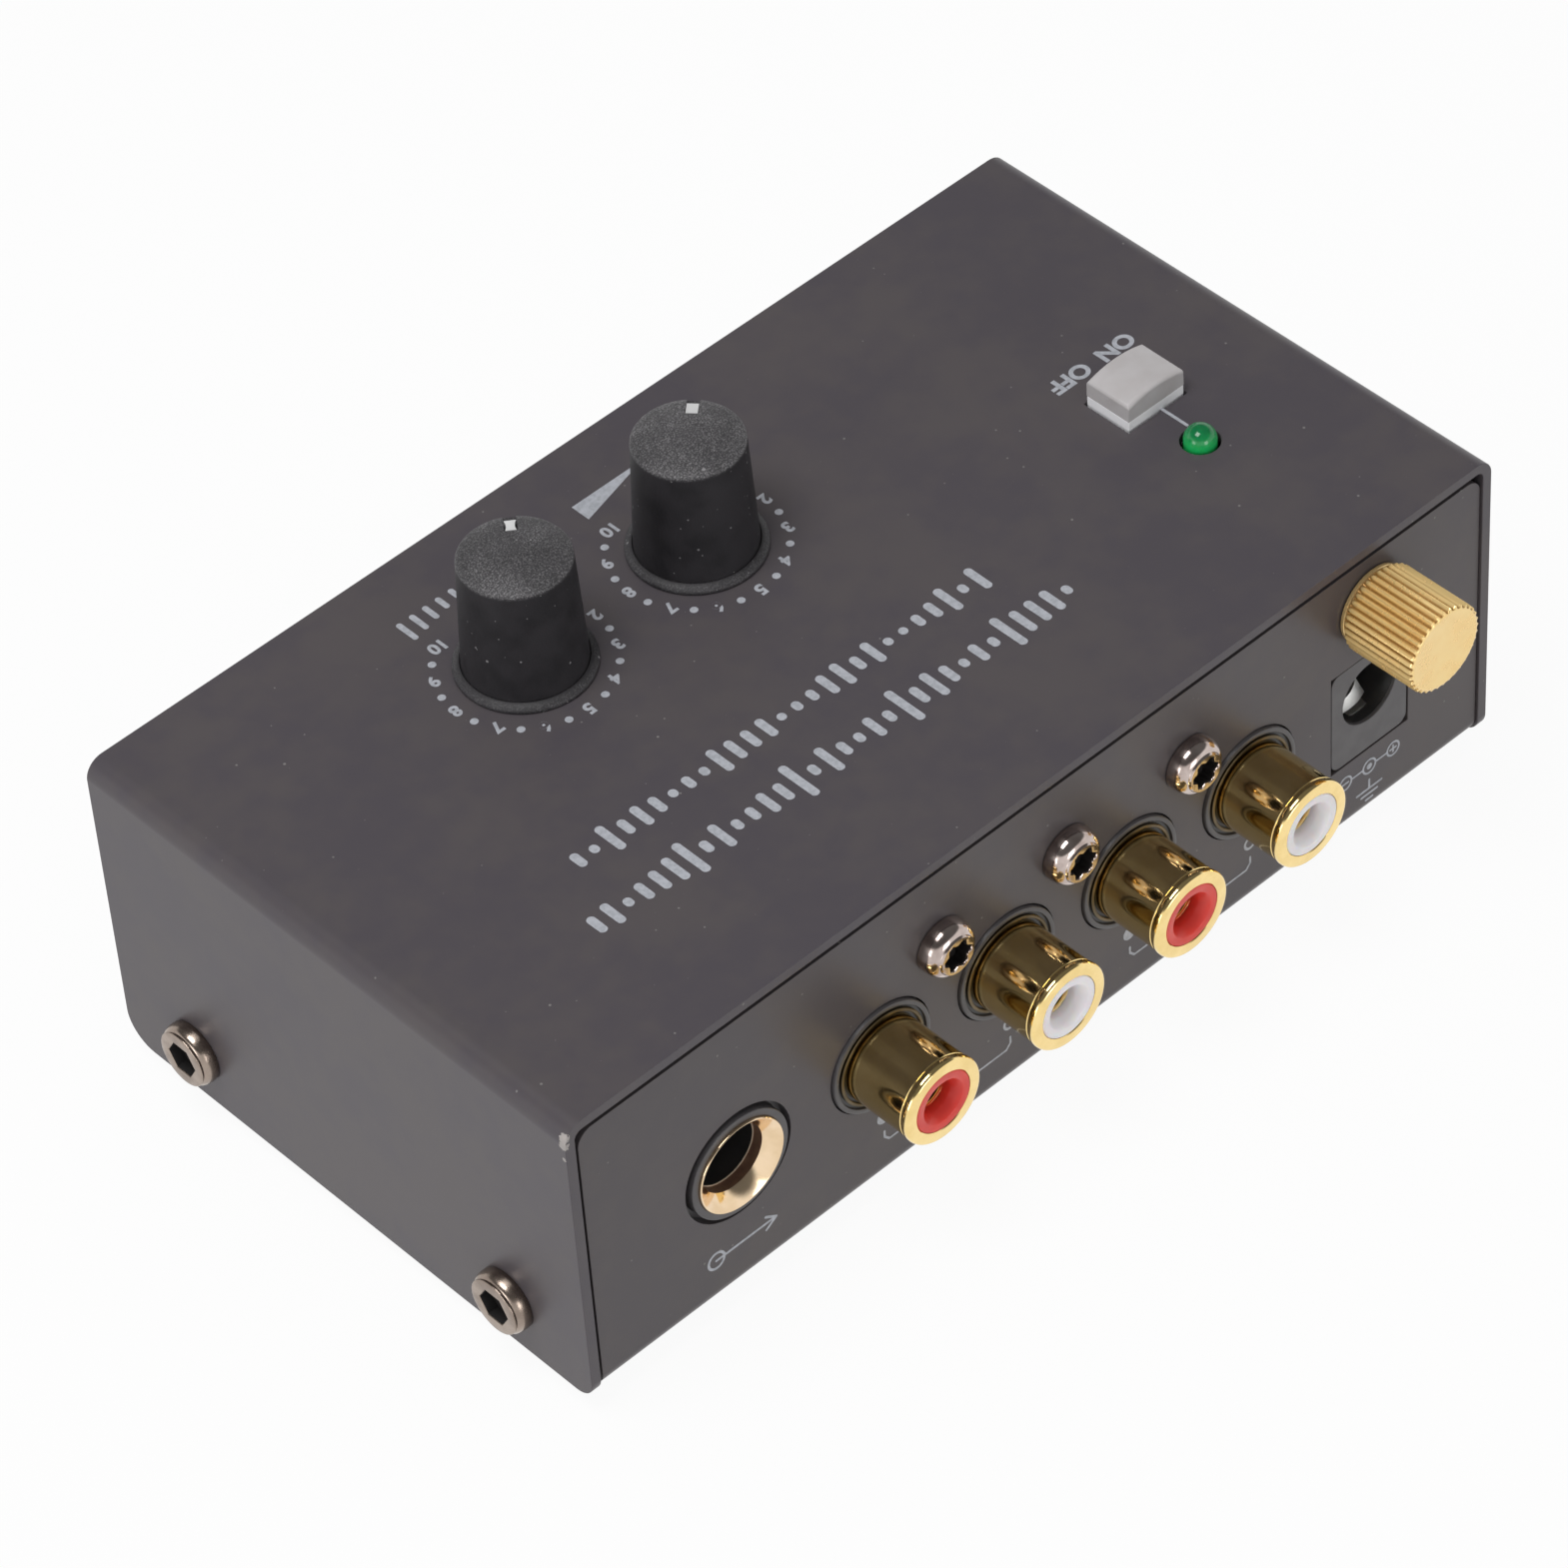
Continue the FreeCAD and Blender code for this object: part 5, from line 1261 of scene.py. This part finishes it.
@dataclass
class GroundTerminal:
    """The ridged thumb nut on its stud, over a washer."""

    radius: float = 4.14
    ridge_steps: int = 10
    bore: float = 2.0
    bore_deep: float = 6.3

    def build(self) -> None:
        """Make the nut, the washer and the stud."""
        span = Span.of("ground_nut")
        finish = RidgedPlating("gold_satin", tone(1.0, 0.74, 0.33), tone(0.98, 0.69, 0.29), 0.24, 0.16, 0.005,
                               metal=0.42, axis_x=span.middle.x, axis_z=span.middle.z, end=span.high.y)
        drawn("thumb_nut", finish, "ground_nut", [span.rear(span.low.y)],
              self.stations(span.high.y - span.low.y), RIDGES * self.ridge_steps)
        self.washer()
        stud = Form().take("ground_stud").soften(0.1)
        stud.settle("ground_stud_plated", FINISHES["plated_steel"], "ground_stud")

    def stations(self, long: float) -> list[Ring]:
        """Give the nut's rings: in at its bore, round its ridges and over its flat end.

        Args:
            long: the nut's length.

        Returns:
            The rings in order.
        """
        radius, bore, deep = self.radius, self.bore, self.bore_deep
        hole = rings((0, deep), (bore, deep), (bore, 0.15), (bore + 0.15, 0.0), (radius - 0.42, 0.0),
                     (radius - 0.30, 0.06))
        ridged = rings((radius - 0.06, 0.3), (radius, 0.42), (radius, long - 0.3),
                       (radius - 0.03, long - 0.16), outline=Outline.RIDGED)
        end = rings((radius - 0.31, long - 0.05), (radius - 0.37, long - 0.01), (radius - 0.46, long),
                    (radius - 0.6, long - 0.02), (0, long - 0.02))
        return hole + ridged + end

    def washer(self) -> None:
        """Make the flat washer."""
        span = Span.of("ground_washer")
        thick = span.high.y - span.low.y
        outer = (span.high.x - span.low.x) / 2
        bore = self.bore + 0.1
        spun("ground_washer_round", SATIN_GOLD, "ground_washer", [span.rear(span.low.y)],
             [(bore, 0), (outer - 0.08, 0), (outer, 0.08), (outer, thick - 0.1), (outer - 0.1, thick),
              (bore + 0.06, thick), (bore, thick - 0.06)])


# Controls


@dataclass
class Dial:
    """A tapered rubber knob with a sloped skirt, and a white mark in its notch."""

    name: str
    rest: float
    waist: float
    skirt: float = 6.0
    foot: float = 5.27
    cap: float = 4.78
    dome: float = 0.62
    shaft: float = 3.0
    shaft_deep: float = 8.8
    notch_start: float = 2.5
    notch_half: float = 0.55
    notch_deep: float = 0.9
    mark_start: float = 2.6
    mark_end: float = 3.85
    mark_half: float = 0.5
    mark_tall: float = 0.55
    lowered: float = 0.12

    def build(self) -> None:
        """Make the knob and its mark."""
        span = Span.of(self.name + "_knob")
        tall = span.high.z - span.low.z
        base = (span.middle.x, span.middle.y, span.low.z)
        place = Face.TOP.matrix(base)
        turned = place @ Matrix.Rotation(math.radians(self.rest), 4, "Z")
        knob = Form()
        knob.turn(place, self.profile(tall), steps=FINE_STEPS)
        blank = knob.shape(self.name + "_rubber_knob")
        cutter = Form()
        cutter.block(turned, (self.notch_start, -self.notch_half, tall - self.notch_deep),
                     (self.skirt, self.notch_half, tall + 1.0))
        carve(blank, cutter.shape("notch_cutter"))
        dress(blank, KNOB_RUBBER, self.name + "_knob")
        self.mark(turned, tall)

    def profile(self, tall: float) -> Profile:
        """Give the knob's outline.

        Args:
            tall: the knob's height.

        Returns:
            The outline from the bore, under the skirt and up to the crown.
        """
        skirt, foot, cap, low, bore = self.skirt, self.foot, self.cap, -self.lowered, self.shaft
        side = [(0, self.shaft_deep), (bore, self.shaft_deep), (bore, 0.1), (bore + 0.1, low),
                (skirt - 0.1, low), (skirt, low + 0.08), (skirt, 0.16), (skirt - 0.05, 0.24),
                (foot + 0.17, 0.6), (foot + 0.08, 0.6), (foot + 0.03, 0.52), (foot, 0.4),
                (foot - 0.03, 0.56), (foot - 0.04, 0.9)]
        rim = tall - self.dome
        shoulder = [(cap, rim - 0.3), (cap - 0.02, rim - 0.17), (cap - 0.08, rim - 0.07), (cap - 0.18, rim)]
        crown = [(cap * share, tall - self.dome * share * share)
                 for share in (0.85, 0.65, 0.45, 0.25, 0.1, 0)]
        return side + shoulder + crown

    def mark(self, turned: Matrix, tall: float) -> None:
        """Make the white mark, pinched at its waist.

        Args:
            turned: the knob's matrix, turned to where the mark stands at rest.
            tall: the knob's height.
        """
        low = tall - self.notch_deep + 0.01
        part = bmesh.new()
        bmesh.ops.create_grid(part, x_segments=6, y_segments=1, size=0.5)
        long = self.mark_end - self.mark_start
        for corner in part.verts:
            pinch = 1 - self.waist * (1 - (2 * corner.co.x) ** 2)
            corner.co = (corner.co.x * long, corner.co.y * 2 * self.mark_half * pinch, 0)
        grown = bmesh.ops.extrude_face_region(part, geom=list(part.faces))["geom"]
        tops = [item for item in grown if isinstance(item, bmesh.types.BMVert)]
        bmesh.ops.translate(part, vec=(0, 0, self.mark_tall), verts=tops)
        form = Form()
        form.add(part, turned @ Matrix.Translation(((self.mark_start + self.mark_end) / 2, 0, low)))
        form.settle(self.name + "_white_mark", POINTER_WHITE, self.name + "_pointer")


@dataclass
class PowerButton:
    """The grey cap on its white stem."""

    edge: float = 0.32
    longer: float = 0.32

    def build(self) -> None:
        """Make the cap, the stem and the moulding mark on the cap's side."""
        span = Span.of("button_cap")
        cap = self.lowered("button_cap", span.low.z).soften(self.edge, 40.0, 4)
        cap.settle("grey_cap", GREY_PLASTIC, "button_cap")
        stem = self.lowered("button_stem", span.low.z).soften(0.1)
        stem.settle("white_stem", STEM_WHITE, "button_stem")
        self.moulding_mark(span)

    def lowered(self, node: str, joint: float) -> Form:
        """Take a piece, with the joint between the cap and the stem moved down.

        Args:
            node: the piece's CAD node.
            joint: the joint's height in millimetres.

        Returns:
            The piece's form.
        """
        form = Form().take(node)
        for corner in form.bm.verts:
            if abs(corner.co.z / MM - joint) < self.longer / 2:
                corner.co.z -= self.longer * MM
        return form

    def moulding_mark(self, span: Span) -> None:
        """Make the small raised ring on the cap's side.

        Args:
            span: the cap's box.
        """
        place = Face.RIGHT_END.matrix((span.high.x, span.middle.y, span.low.z + 0.55))
        profile = [(0, -0.05), (0.3, -0.05), (0.3, 0.006), (0.2, 0.012), (0.12, 0.004), (0, 0.004)]
        spun("cap_moulding_mark", GREY_PLASTIC, "button_cap", [place], profile, closed=False, steps=32)


@dataclass
class SwitchSpring:
    """The power switch's return spring, which really shortens as the button goes down; here it keeps its CAD
    shape.
    """

    joint: str = "power_press"

    def build(self) -> None:
        """Make the coil and give it a mesh of its own; the share it would keep at full travel is reckoned but
        not used.
        """
        span = Span.of("switch_spring")
        coil = Form().take("switch_spring")
        spring = coil.settle("return_spring", FINISHES["spring_steel"], "switch_spring")
        travel = next(max(joint["range_m"]) for joint in frame["joints"] if joint["name"] == self.joint)
        1 - travel / MM / (span.high.z - span.low.z)
        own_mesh(spring)


@dataclass
class IndicatorLamp:
    """The green lamp's lens, domed over a straight body with a flange."""

    radius: float = 1.45
    arc_steps: int = 12
    steps: int = 64

    def build(self) -> None:
        """Make the lens."""
        span = Span.of("lamp")
        tall = span.high.z - span.low.z
        straight = tall - self.radius
        flange = (span.high.x - span.low.x) / 2
        profile = [(0, 0), (flange, 0), (flange, 0.7), (flange - 0.08, 0.78), (self.radius, 0.8)]
        for step in range(self.arc_steps + 1):
            angle = math.pi / 2 * step / self.arc_steps
            profile.append((self.radius * math.cos(angle), straight + self.radius * math.sin(angle)))
        place = Face.TOP.matrix((span.middle.x, span.middle.y, span.low.z))
        spun("green_lens", LAMP_GREEN, "lamp", [place], profile, closed=False, steps=self.steps)


# Printing


class Stencil:
    """Thin shapes of ink on one face, drawn with right and up in millimetres."""

    under: float = -0.03
    first_over: float = 0.012
    step: float = 0.0001
    bolder: float = 0.04

    def __init__(self, face: Face, origin: Point) -> None:
        """Start on a face.

        Args:
            face: the face that is printed on.
            origin: the drawing's zero point in the frame, in millimetres.
        """
        self.place = face.matrix(origin)
        self.form = Form()
        self.over = self.first_over

    def at(self, right: float, up: float, turn: float = 0.0) -> Matrix:
        """Give the matrix of a spot on the face, turned by an angle in radians."""
        return self.place @ Matrix.Translation((right, up, 0)) @ Matrix.Rotation(turn, 4, "Z")

    def dot(self, right: float, up: float, radius: float, steps: int = 20) -> None:
        """Print a filled dot."""
        self.form.turn(self.at(right, up), [(0, self.under), (radius, self.under), (radius, self.over),
                                            (0, self.over)], steps=steps)

    def hoop(self, right: float, up: float, radius: float, width: float) -> None:
        """Print a ring.

        Args:
            right: its middle across.
            up: its middle upwards.
            radius: the radius of its line's middle.
            width: how broad the line is.
        """
        inner, outer = radius - width / 2, radius + width / 2
        self.form.turn(self.at(right, up), [(inner, self.under), (outer, self.under), (outer, self.over),
                                            (inner, self.over)], closed=True, steps=32)

    def line(self, points: Sequence[tuple[float, float]], width: float) -> None:
        """Print a line with round ends and corners.

        Args:
            points: the points that it goes through.
            width: how broad it is.
        """
        for start, end in zip(points, points[1:]):
            run = Vector(end) - Vector(start)
            part = bmesh.new()
            bmesh.ops.create_circle(part, cap_ends=True, radius=width / 2, segments=20)
            far = [corner for corner in part.verts if corner.co.x > SLIVER_MM]
            bmesh.ops.translate(part, vec=(run.length, 0, 0), verts=far)
            self.raised(part, self.at(*start, math.atan2(run.y, run.x)))

    def raised(self, part: bmesh.types.BMesh, place: Matrix) -> None:
        """Give a flat shape its thickness, a hair more than the shape before it, and print it.

        Args:
            part: the flat shape, which is used up.
            place: its matrix.
        """
        self.over += self.step
        bmesh.ops.translate(part, vec=(0, 0, self.under), verts=part.verts)
        grown = bmesh.ops.extrude_face_region(part, geom=list(part.faces))["geom"]
        tops = [item for item in grown if isinstance(item, bmesh.types.BMVert)]
        bmesh.ops.translate(part, vec=(0, 0, self.over - self.under), verts=tops)
        self.form.add(part, place)

    def wedge(self, right: float, up: float, long: float, tall: float) -> None:
        """Print a solid wedge that rises to the right.

        Args:
            right: its left end.
            up: its foot.
            long: its length.
            tall: its height at the right end.
        """
        part = bmesh.new()
        bmesh.ops.create_circle(part, cap_ends=True, radius=1.0, segments=3)
        corners = sorted(part.verts, key=lambda corner: corner.co.x)
        for corner, spot in zip(corners, ((0, 0), (long, 0), (long, tall))):
            corner.co = (*spot, 0)
        self.raised(part, self.at(right, up))

    def letters(self, text: str, right: float, up: float, tall: float, long: Optional[float] = None) -> None:
        """Print plain figures or letters about a spot.

        Args:
            text: what to print.
            right: the middle of the text across.
            up: the middle of the text upwards.
            tall: its height.
            long: its length, if that is set as well.
        """
        curve = bpy.data.curves.new("figures", "FONT")
        curve.body = text
        curve.extrude = (self.over - self.under) / 2
        curve.offset = self.bolder
        holder = bpy.data.objects.new("figures", curve)
        mesh = bpy.data.meshes.new_from_object(holder)
        part = bmesh.new()
        part.from_mesh(mesh)
        low = Vector([min(corner.co[axis] for corner in part.verts) for axis in range(2)])
        high = Vector([max(corner.co[axis] for corner in part.verts) for axis in range(2)])
        size = high - low
        scale = tall / size.y
        stretch = long / size.x if long else scale
        middle = (low + high) / 2
        bmesh.ops.translate(part, vec=(-middle.x, -middle.y, (self.over + self.under) / 2), verts=part.verts)
        bmesh.ops.scale(part, vec=(stretch, scale, 1), verts=part.verts)
        self.form.add(part, self.at(right, up))
        bpy.data.objects.remove(holder)
        bpy.data.curves.remove(curve)
        bpy.data.meshes.remove(mesh)

    def settle(self, name: str) -> None:
        """Set the print down as one piece."""
        self.form.settle(name, INK)


@dataclass
class Printing:
    """Generic printing: dial figures, level bars, switch words and plain connector signs."""

    dial_radius: float = 7.6
    last_figure: int = 10
    figure: float = 1.32
    dot: float = 0.36
    figure_step: float = 30.0
    zero_angle: float = 240.0
    stroke: float = 0.26
    bar: float = 0.82
    bar_pitch: float = 1.68

    def build(self) -> None:
        """Print the top and the rear panel."""
        cover = Span.of("top_cover")
        self.top = Stencil(Face.TOP, (0, 0, cover.high.z))
        for name in ("level", "volume"):
            middle = Span.of(name + "_knob").middle
            self.dial(middle.x, middle.y)
        self.labels()
        self.bars(start=35.2, end=-16.4, line=10.3, tall=4.5, phase=2.2)
        self.bars(start=31.5, end=-12.4, line=4.1, tall=3.5, phase=0.4)
        self.button_marks()
        self.top.settle("top_printing")
        self.rear = Stencil(Face.REAR, (0, Span.of("bottom_tray").high.y, 0))
        self.socket_marks()
        self.output_mark()
        self.inlet_marks()
        self.rear.settle("rear_printing")

    def dial(self, x_place: float, y_place: float) -> None:
        """Print a dial: its figures and a dot between each two.

        Args:
            x_place: the dial's middle along X.
            y_place: its middle along Y.
        """
        for number in range(self.last_figure + 1):
            angle = math.radians(self.zero_angle - self.figure_step * number)
            right = x_place + self.dial_radius * math.cos(angle)
            up = y_place + self.dial_radius * math.sin(angle)
            self.top.letters(str(number), right, up, self.figure)
            if number < self.last_figure:
                angle -= math.radians(self.figure_step / 2)
                self.top.dot(x_place + self.dial_radius * math.cos(angle),
                             y_place + self.dial_radius * math.sin(angle), self.dot)

    def labels(self) -> None:
        """Print a rising wedge for the level and rising bars for the volume."""
        level = Span.of("level_knob").middle
        volume = Span.of("volume_knob").middle
        line = level.y - 10.9
        self.top.wedge(level.x - 4.0, line, 8.0, 2.1)
        for number in range(7):
            right = volume.x - 4.2 + 1.4 * number
            self.top.line([(right, line + 0.2), (right, line + 0.35 + 0.3 * number)], 0.55)

    def bars(self, start: float, end: float, line: float, tall: float, phase: float) -> None:
        """Print a row of bars like a sound wave.

        Args:
            start: the first bar's X place.
            end: the last bar's X place.
            line: the row's middle, along Y.
            tall: the tallest bar.
            phase: where in its swell the row starts.
        """
        count = round(abs(end - start) / self.bar_pitch)
        for number in range(count + 1):
            swell = math.sin(phase + 0.43 * number) * math.cos(0.9 * phase + 1.31 * number)
            half = tall * (0.22 + 0.78 * abs(swell)) / 2 - self.bar / 2
            right = start + (end - start) * number / count
            self.top.line([(right, line - max(half, 0.02)), (right, line + max(half, 0.02))], self.bar)

    def button_marks(self) -> None:
        """Print the switch words and the line from the button to the lamp."""
        button = Span.of("button_cap")
        lamp = Span.of("lamp").middle
        self.top.letters("ON  OFF", button.middle.x - 0.55, button.low.y - 3.2, 1.75, 9.4)
        right = (button.middle.x + lamp.x) / 2 - 0.55
        self.top.line([(right, button.high.y + 0.1), (right, lamp.y - 2.1)], 0.3)

    def socket_marks(self) -> None:
        """Print a bracket under each pair of phono sockets, with a dot and a ring over its ends."""
        places = Span.of("rca_barrels").row(PhonoSockets.count, PhonoSockets.flange)
        low, tick, sign = 6.1, 7.3, 9.0
        for first, second in (places[:2], places[2:]):
            left, right = -second - 0.1, -first + 0.1
            self.rear.line([(left, tick), (left, low + 0.55), (left + 0.5, low), (right - 0.5, low),
                            (right, low + 0.55), (right, tick)], 0.22)
            self.rear.dot(left, sign, 0.7, 28)
            self.rear.hoop(right, sign, 0.6, self.stroke)

    def output_mark(self) -> None:
        """Print a plain arrow out of a ring under the output socket."""
        middle = -Span.of("output_jack_ferrule").middle.x
        line, start, tip, barb = 6.9, middle - 3.1, middle + 3.4, 0.75
        self.rear.hoop(start, line, 0.85, self.stroke)
        self.rear.line([(start, line), (tip, line)], self.stroke)
        self.rear.line([(tip - 1.1, line + barb), (tip, line), (tip - 1.1, line - barb)], self.stroke)

    def inlet_marks(self) -> None:
        """Print the polarity sign and the earth sign under the inlet."""
        middle = -Span.of("dc_jack_body").middle.x
        line, apart, ring, arm, thin = 7.5, 2.9, 0.75, 0.35, 0.2
        for side in (-1, 1):
            sign = middle + side * apart
            self.rear.hoop(sign, line, 0.72, thin)
            self.rear.line([(sign - arm, line), (sign + arm, line)], thin)
            self.rear.line([(middle + side * ring, line), (sign - side * ring, line)], thin)
        self.rear.line([(middle + apart, line - arm), (middle + apart, line + arm)], thin)
        self.rear.dot(middle, line, 0.32)
        self.rear.hoop(middle, line, ring, thin)
        earth, stroke = 4.9, 0.24
        for number, half in enumerate((1.5, 0.95, 0.4)):
            level = earth - 0.6 * number
            self.rear.line([(middle - half, level), (middle + half, level)], stroke)
        self.rear.line([(middle, earth), (middle, earth + 1.0)], stroke)


# Everything that keeps its CAD shape


class InnerWorks:
    """The pieces inside the case, which keep their CAD shapes."""

    def build(self) -> None:
        """Give each node that is still shown the finish of its slot."""
        for name, node in frame["nodes"].items():
            if node.hide_render:
                continue
            slot = node.data.materials[0].name.split(".")[0]
            node.data.materials.clear()
            node.data.materials.append(FINISHES[slot].material())
            log.info("%s: CAD shape in %s", name, slot)


# Studio


@dataclass(frozen=True)
class SoftBox:
    """One square lamp that looks at the preamp."""

    name: str
    direction: tuple[float, float, float]
    watts: float
    side: float = 0.25
    distance: float = 0.55

    def hang(self, target: Vector) -> None:
        """Hang the lamp so that it looks at a point.

        Args:
            target: the point, in metres.
        """
        lamp = bpy.data.lights.new(self.name, "AREA")
        lamp.shape = "SQUARE"
        lamp.size = self.side
        lamp.energy = self.watts
        holder = bpy.data.objects.new(self.name, lamp)
        way = Vector(self.direction).normalized()
        holder.matrix_world = (Matrix.Translation(target + way * self.distance)
                               @ way.to_track_quat("Z", "Y").to_matrix().to_4x4())
        bpy.context.scene.collection.objects.link(holder)


@dataclass
class Studio:
    """The camera at the photograph's angle, the lamps, the surround and the floor."""

    camera_mm: tuple[float, float, float] = (269.149, 308.376, 427.5)
    target_mm: tuple[float, float, float] = (4.032, -2.722, 17.0)
    roll: float = 4.323
    lens: float = 161.815
    sensor: float = 36.0
    floor_side: float = 6.0
    floor_white: float = 0.82
    floor_lit: float = 0.94
    surround: float = 0.42
    ceiling: float = 0.14
    white_below: float = 0.36
    dark_above: float = 0.52

    def build(self) -> None:
        """Set everything up."""
        bpy.context.scene.view_settings.view_transform = "Standard"
        self.camera()
        target = Vector(self.target_mm) * MM
        for box in (SoftBox("lamp_overhead", (0.314, -0.010, 0.948), 1.5),
                    SoftBox("lamp_right", (0.982, 0.067, 0.16), 0.4, 0.2),
                    SoftBox("lamp_rear", (0.055, 1.0, 0.19), 0.45, 0.2)):
            box.hang(target)
        self.world()
        self.floor()

    def camera(self) -> None:
        """Make the camera from its place, its target and its roll."""
        back = (Vector(self.camera_mm) - Vector(self.target_mm)).normalized()
        level = Vector((0, 0, 1)).cross(back).normalized()
        rise = back.cross(level)
        roll = math.radians(self.roll)
        right = level * math.cos(roll) - rise * math.sin(roll)
        axes = Matrix((right, back.cross(right), back)).transposed().to_4x4()
        data = bpy.data.cameras.new("camera")
        data.lens = self.lens
        data.sensor_width = self.sensor
        data.clip_start = 0.01
        holder = bpy.data.objects.new("camera", data)
        holder.matrix_world = Matrix.Translation(Vector(self.camera_mm) * MM) @ axes
        bpy.context.scene.collection.objects.link(holder)
        bpy.context.scene.camera = holder

    @staticmethod
    def seen(tree: bpy.types.NodeTree, *rays: str) -> bpy.types.NodeSocket:
        """Tell rays of some kinds from the others.

        Args:
            tree: the node tree to add to.
            rays: the outputs of Light Path to look for.

        Returns:
            1 for those rays and 0 for the others.
        """
        path = tree.nodes.new("ShaderNodeLightPath")
        total = path.outputs[rays[0]]
        for name in rays[1:]:
            larger = tree.nodes.new("ShaderNodeMath")
            larger.operation = "MAXIMUM"
            tree.links.new(total, larger.inputs[0])
            tree.links.new(path.outputs[name], larger.inputs[1])
            total = larger.outputs[0]
        return total

    def world(self) -> None:
        """Make a surround of a plain level, with a dark ceiling in reflections and white behind."""
        world = bpy.data.worlds.new("surround")
        world.use_nodes = True
        tree = world.node_tree
        soft = tree.nodes["Background"]
        white = tree.nodes.new("ShaderNodeBackground")
        room = tree.nodes.new("ShaderNodeBackground")
        for light in (soft, white, room):
            light.inputs["Color"].default_value = tone(1, 1, 1)
        soft.inputs["Strength"].default_value = self.surround
        way = tree.nodes.new("ShaderNodeTexCoord")
        height = tree.nodes.new("ShaderNodeSeparateXYZ")
        fade = tree.nodes.new("ShaderNodeMapRange")
        fade.interpolation_type = "SMOOTHSTEP"
        for name, value in (("From Min", self.white_below), ("From Max", self.dark_above), ("To Min", 1.0),
                            ("To Max", self.ceiling)):
            fade.inputs[name].default_value = value
        tree.links.new(way.outputs["Generated"], height.inputs[0])
        tree.links.new(height.outputs["Z"], fade.inputs["Value"])
        tree.links.new(fade.outputs["Result"], room.inputs["Strength"])
        last = soft.outputs[0]
        for shown, rays in ((room, ("Is Glossy Ray", "Is Transmission Ray")), (white, ("Is Camera Ray",))):
            mix = tree.nodes.new("ShaderNodeMixShader")
            tree.links.new(self.seen(tree, *rays), mix.inputs[0])
            tree.links.new(last, mix.inputs[1])
            tree.links.new(shown.outputs[0], mix.inputs[2])
            last = mix.outputs[0]
        tree.links.new(last, tree.nodes["World Output"].inputs["Surface"])
        bpy.context.scene.world = world

    def floor(self) -> None:
        """Lay a white floor that keeps a soft shadow."""
        bm = bmesh.new()
        bmesh.ops.create_grid(bm, x_segments=1, y_segments=1, size=self.floor_side / 2)
        mesh = bpy.data.meshes.new("floor")
        bm.to_mesh(mesh)
        bm.free()
        floor = bpy.data.objects.new("floor", mesh)
        bpy.context.scene.collection.objects.link(floor)
        bench = Bench("floor_white")
        tree = bench.tree
        white = tone(self.floor_white, self.floor_white, self.floor_white)
        bench.lay(Base_Color=white, Roughness=0.9)
        glow = tree.nodes.new("ShaderNodeEmission")
        glow.inputs["Color"].default_value = tone(1, 1, 1)
        mix = tree.nodes.new("ShaderNodeMixShader")
        rays = ("Is Camera Ray", "Is Glossy Ray", "Is Transmission Ray")
        share = Wire(bench, self.seen(tree, *rays)) * self.floor_lit
        tree.links.new(share.socket, mix.inputs[0])
        tree.links.new(bench.surface.outputs[0], mix.inputs[1])
        tree.links.new(glow.outputs[0], mix.inputs[2])
        tree.links.new(mix.outputs[0], tree.nodes["Material Output"].inputs["Surface"])
        mesh.materials.append(bench.material)


def main() -> None:
    """Build the preamp and its studio in order."""
    logging.basicConfig(level=logging.INFO, format="%(message)s")
    Studio().build()
    for assembly in (CaseShell(), EndScrews(), SocketScrews(), PhonoSockets(), OutputSocket(), PowerInlet(),
                     GroundTerminal(), Dial("level", 221.0, 0.0), Dial("volume", 233.0, 0.28), PowerButton(),
                     SwitchSpring(), IndicatorLamp(), Printing(), InnerWorks()):
        assembly.build()


if __name__ == "__main__":
    main()
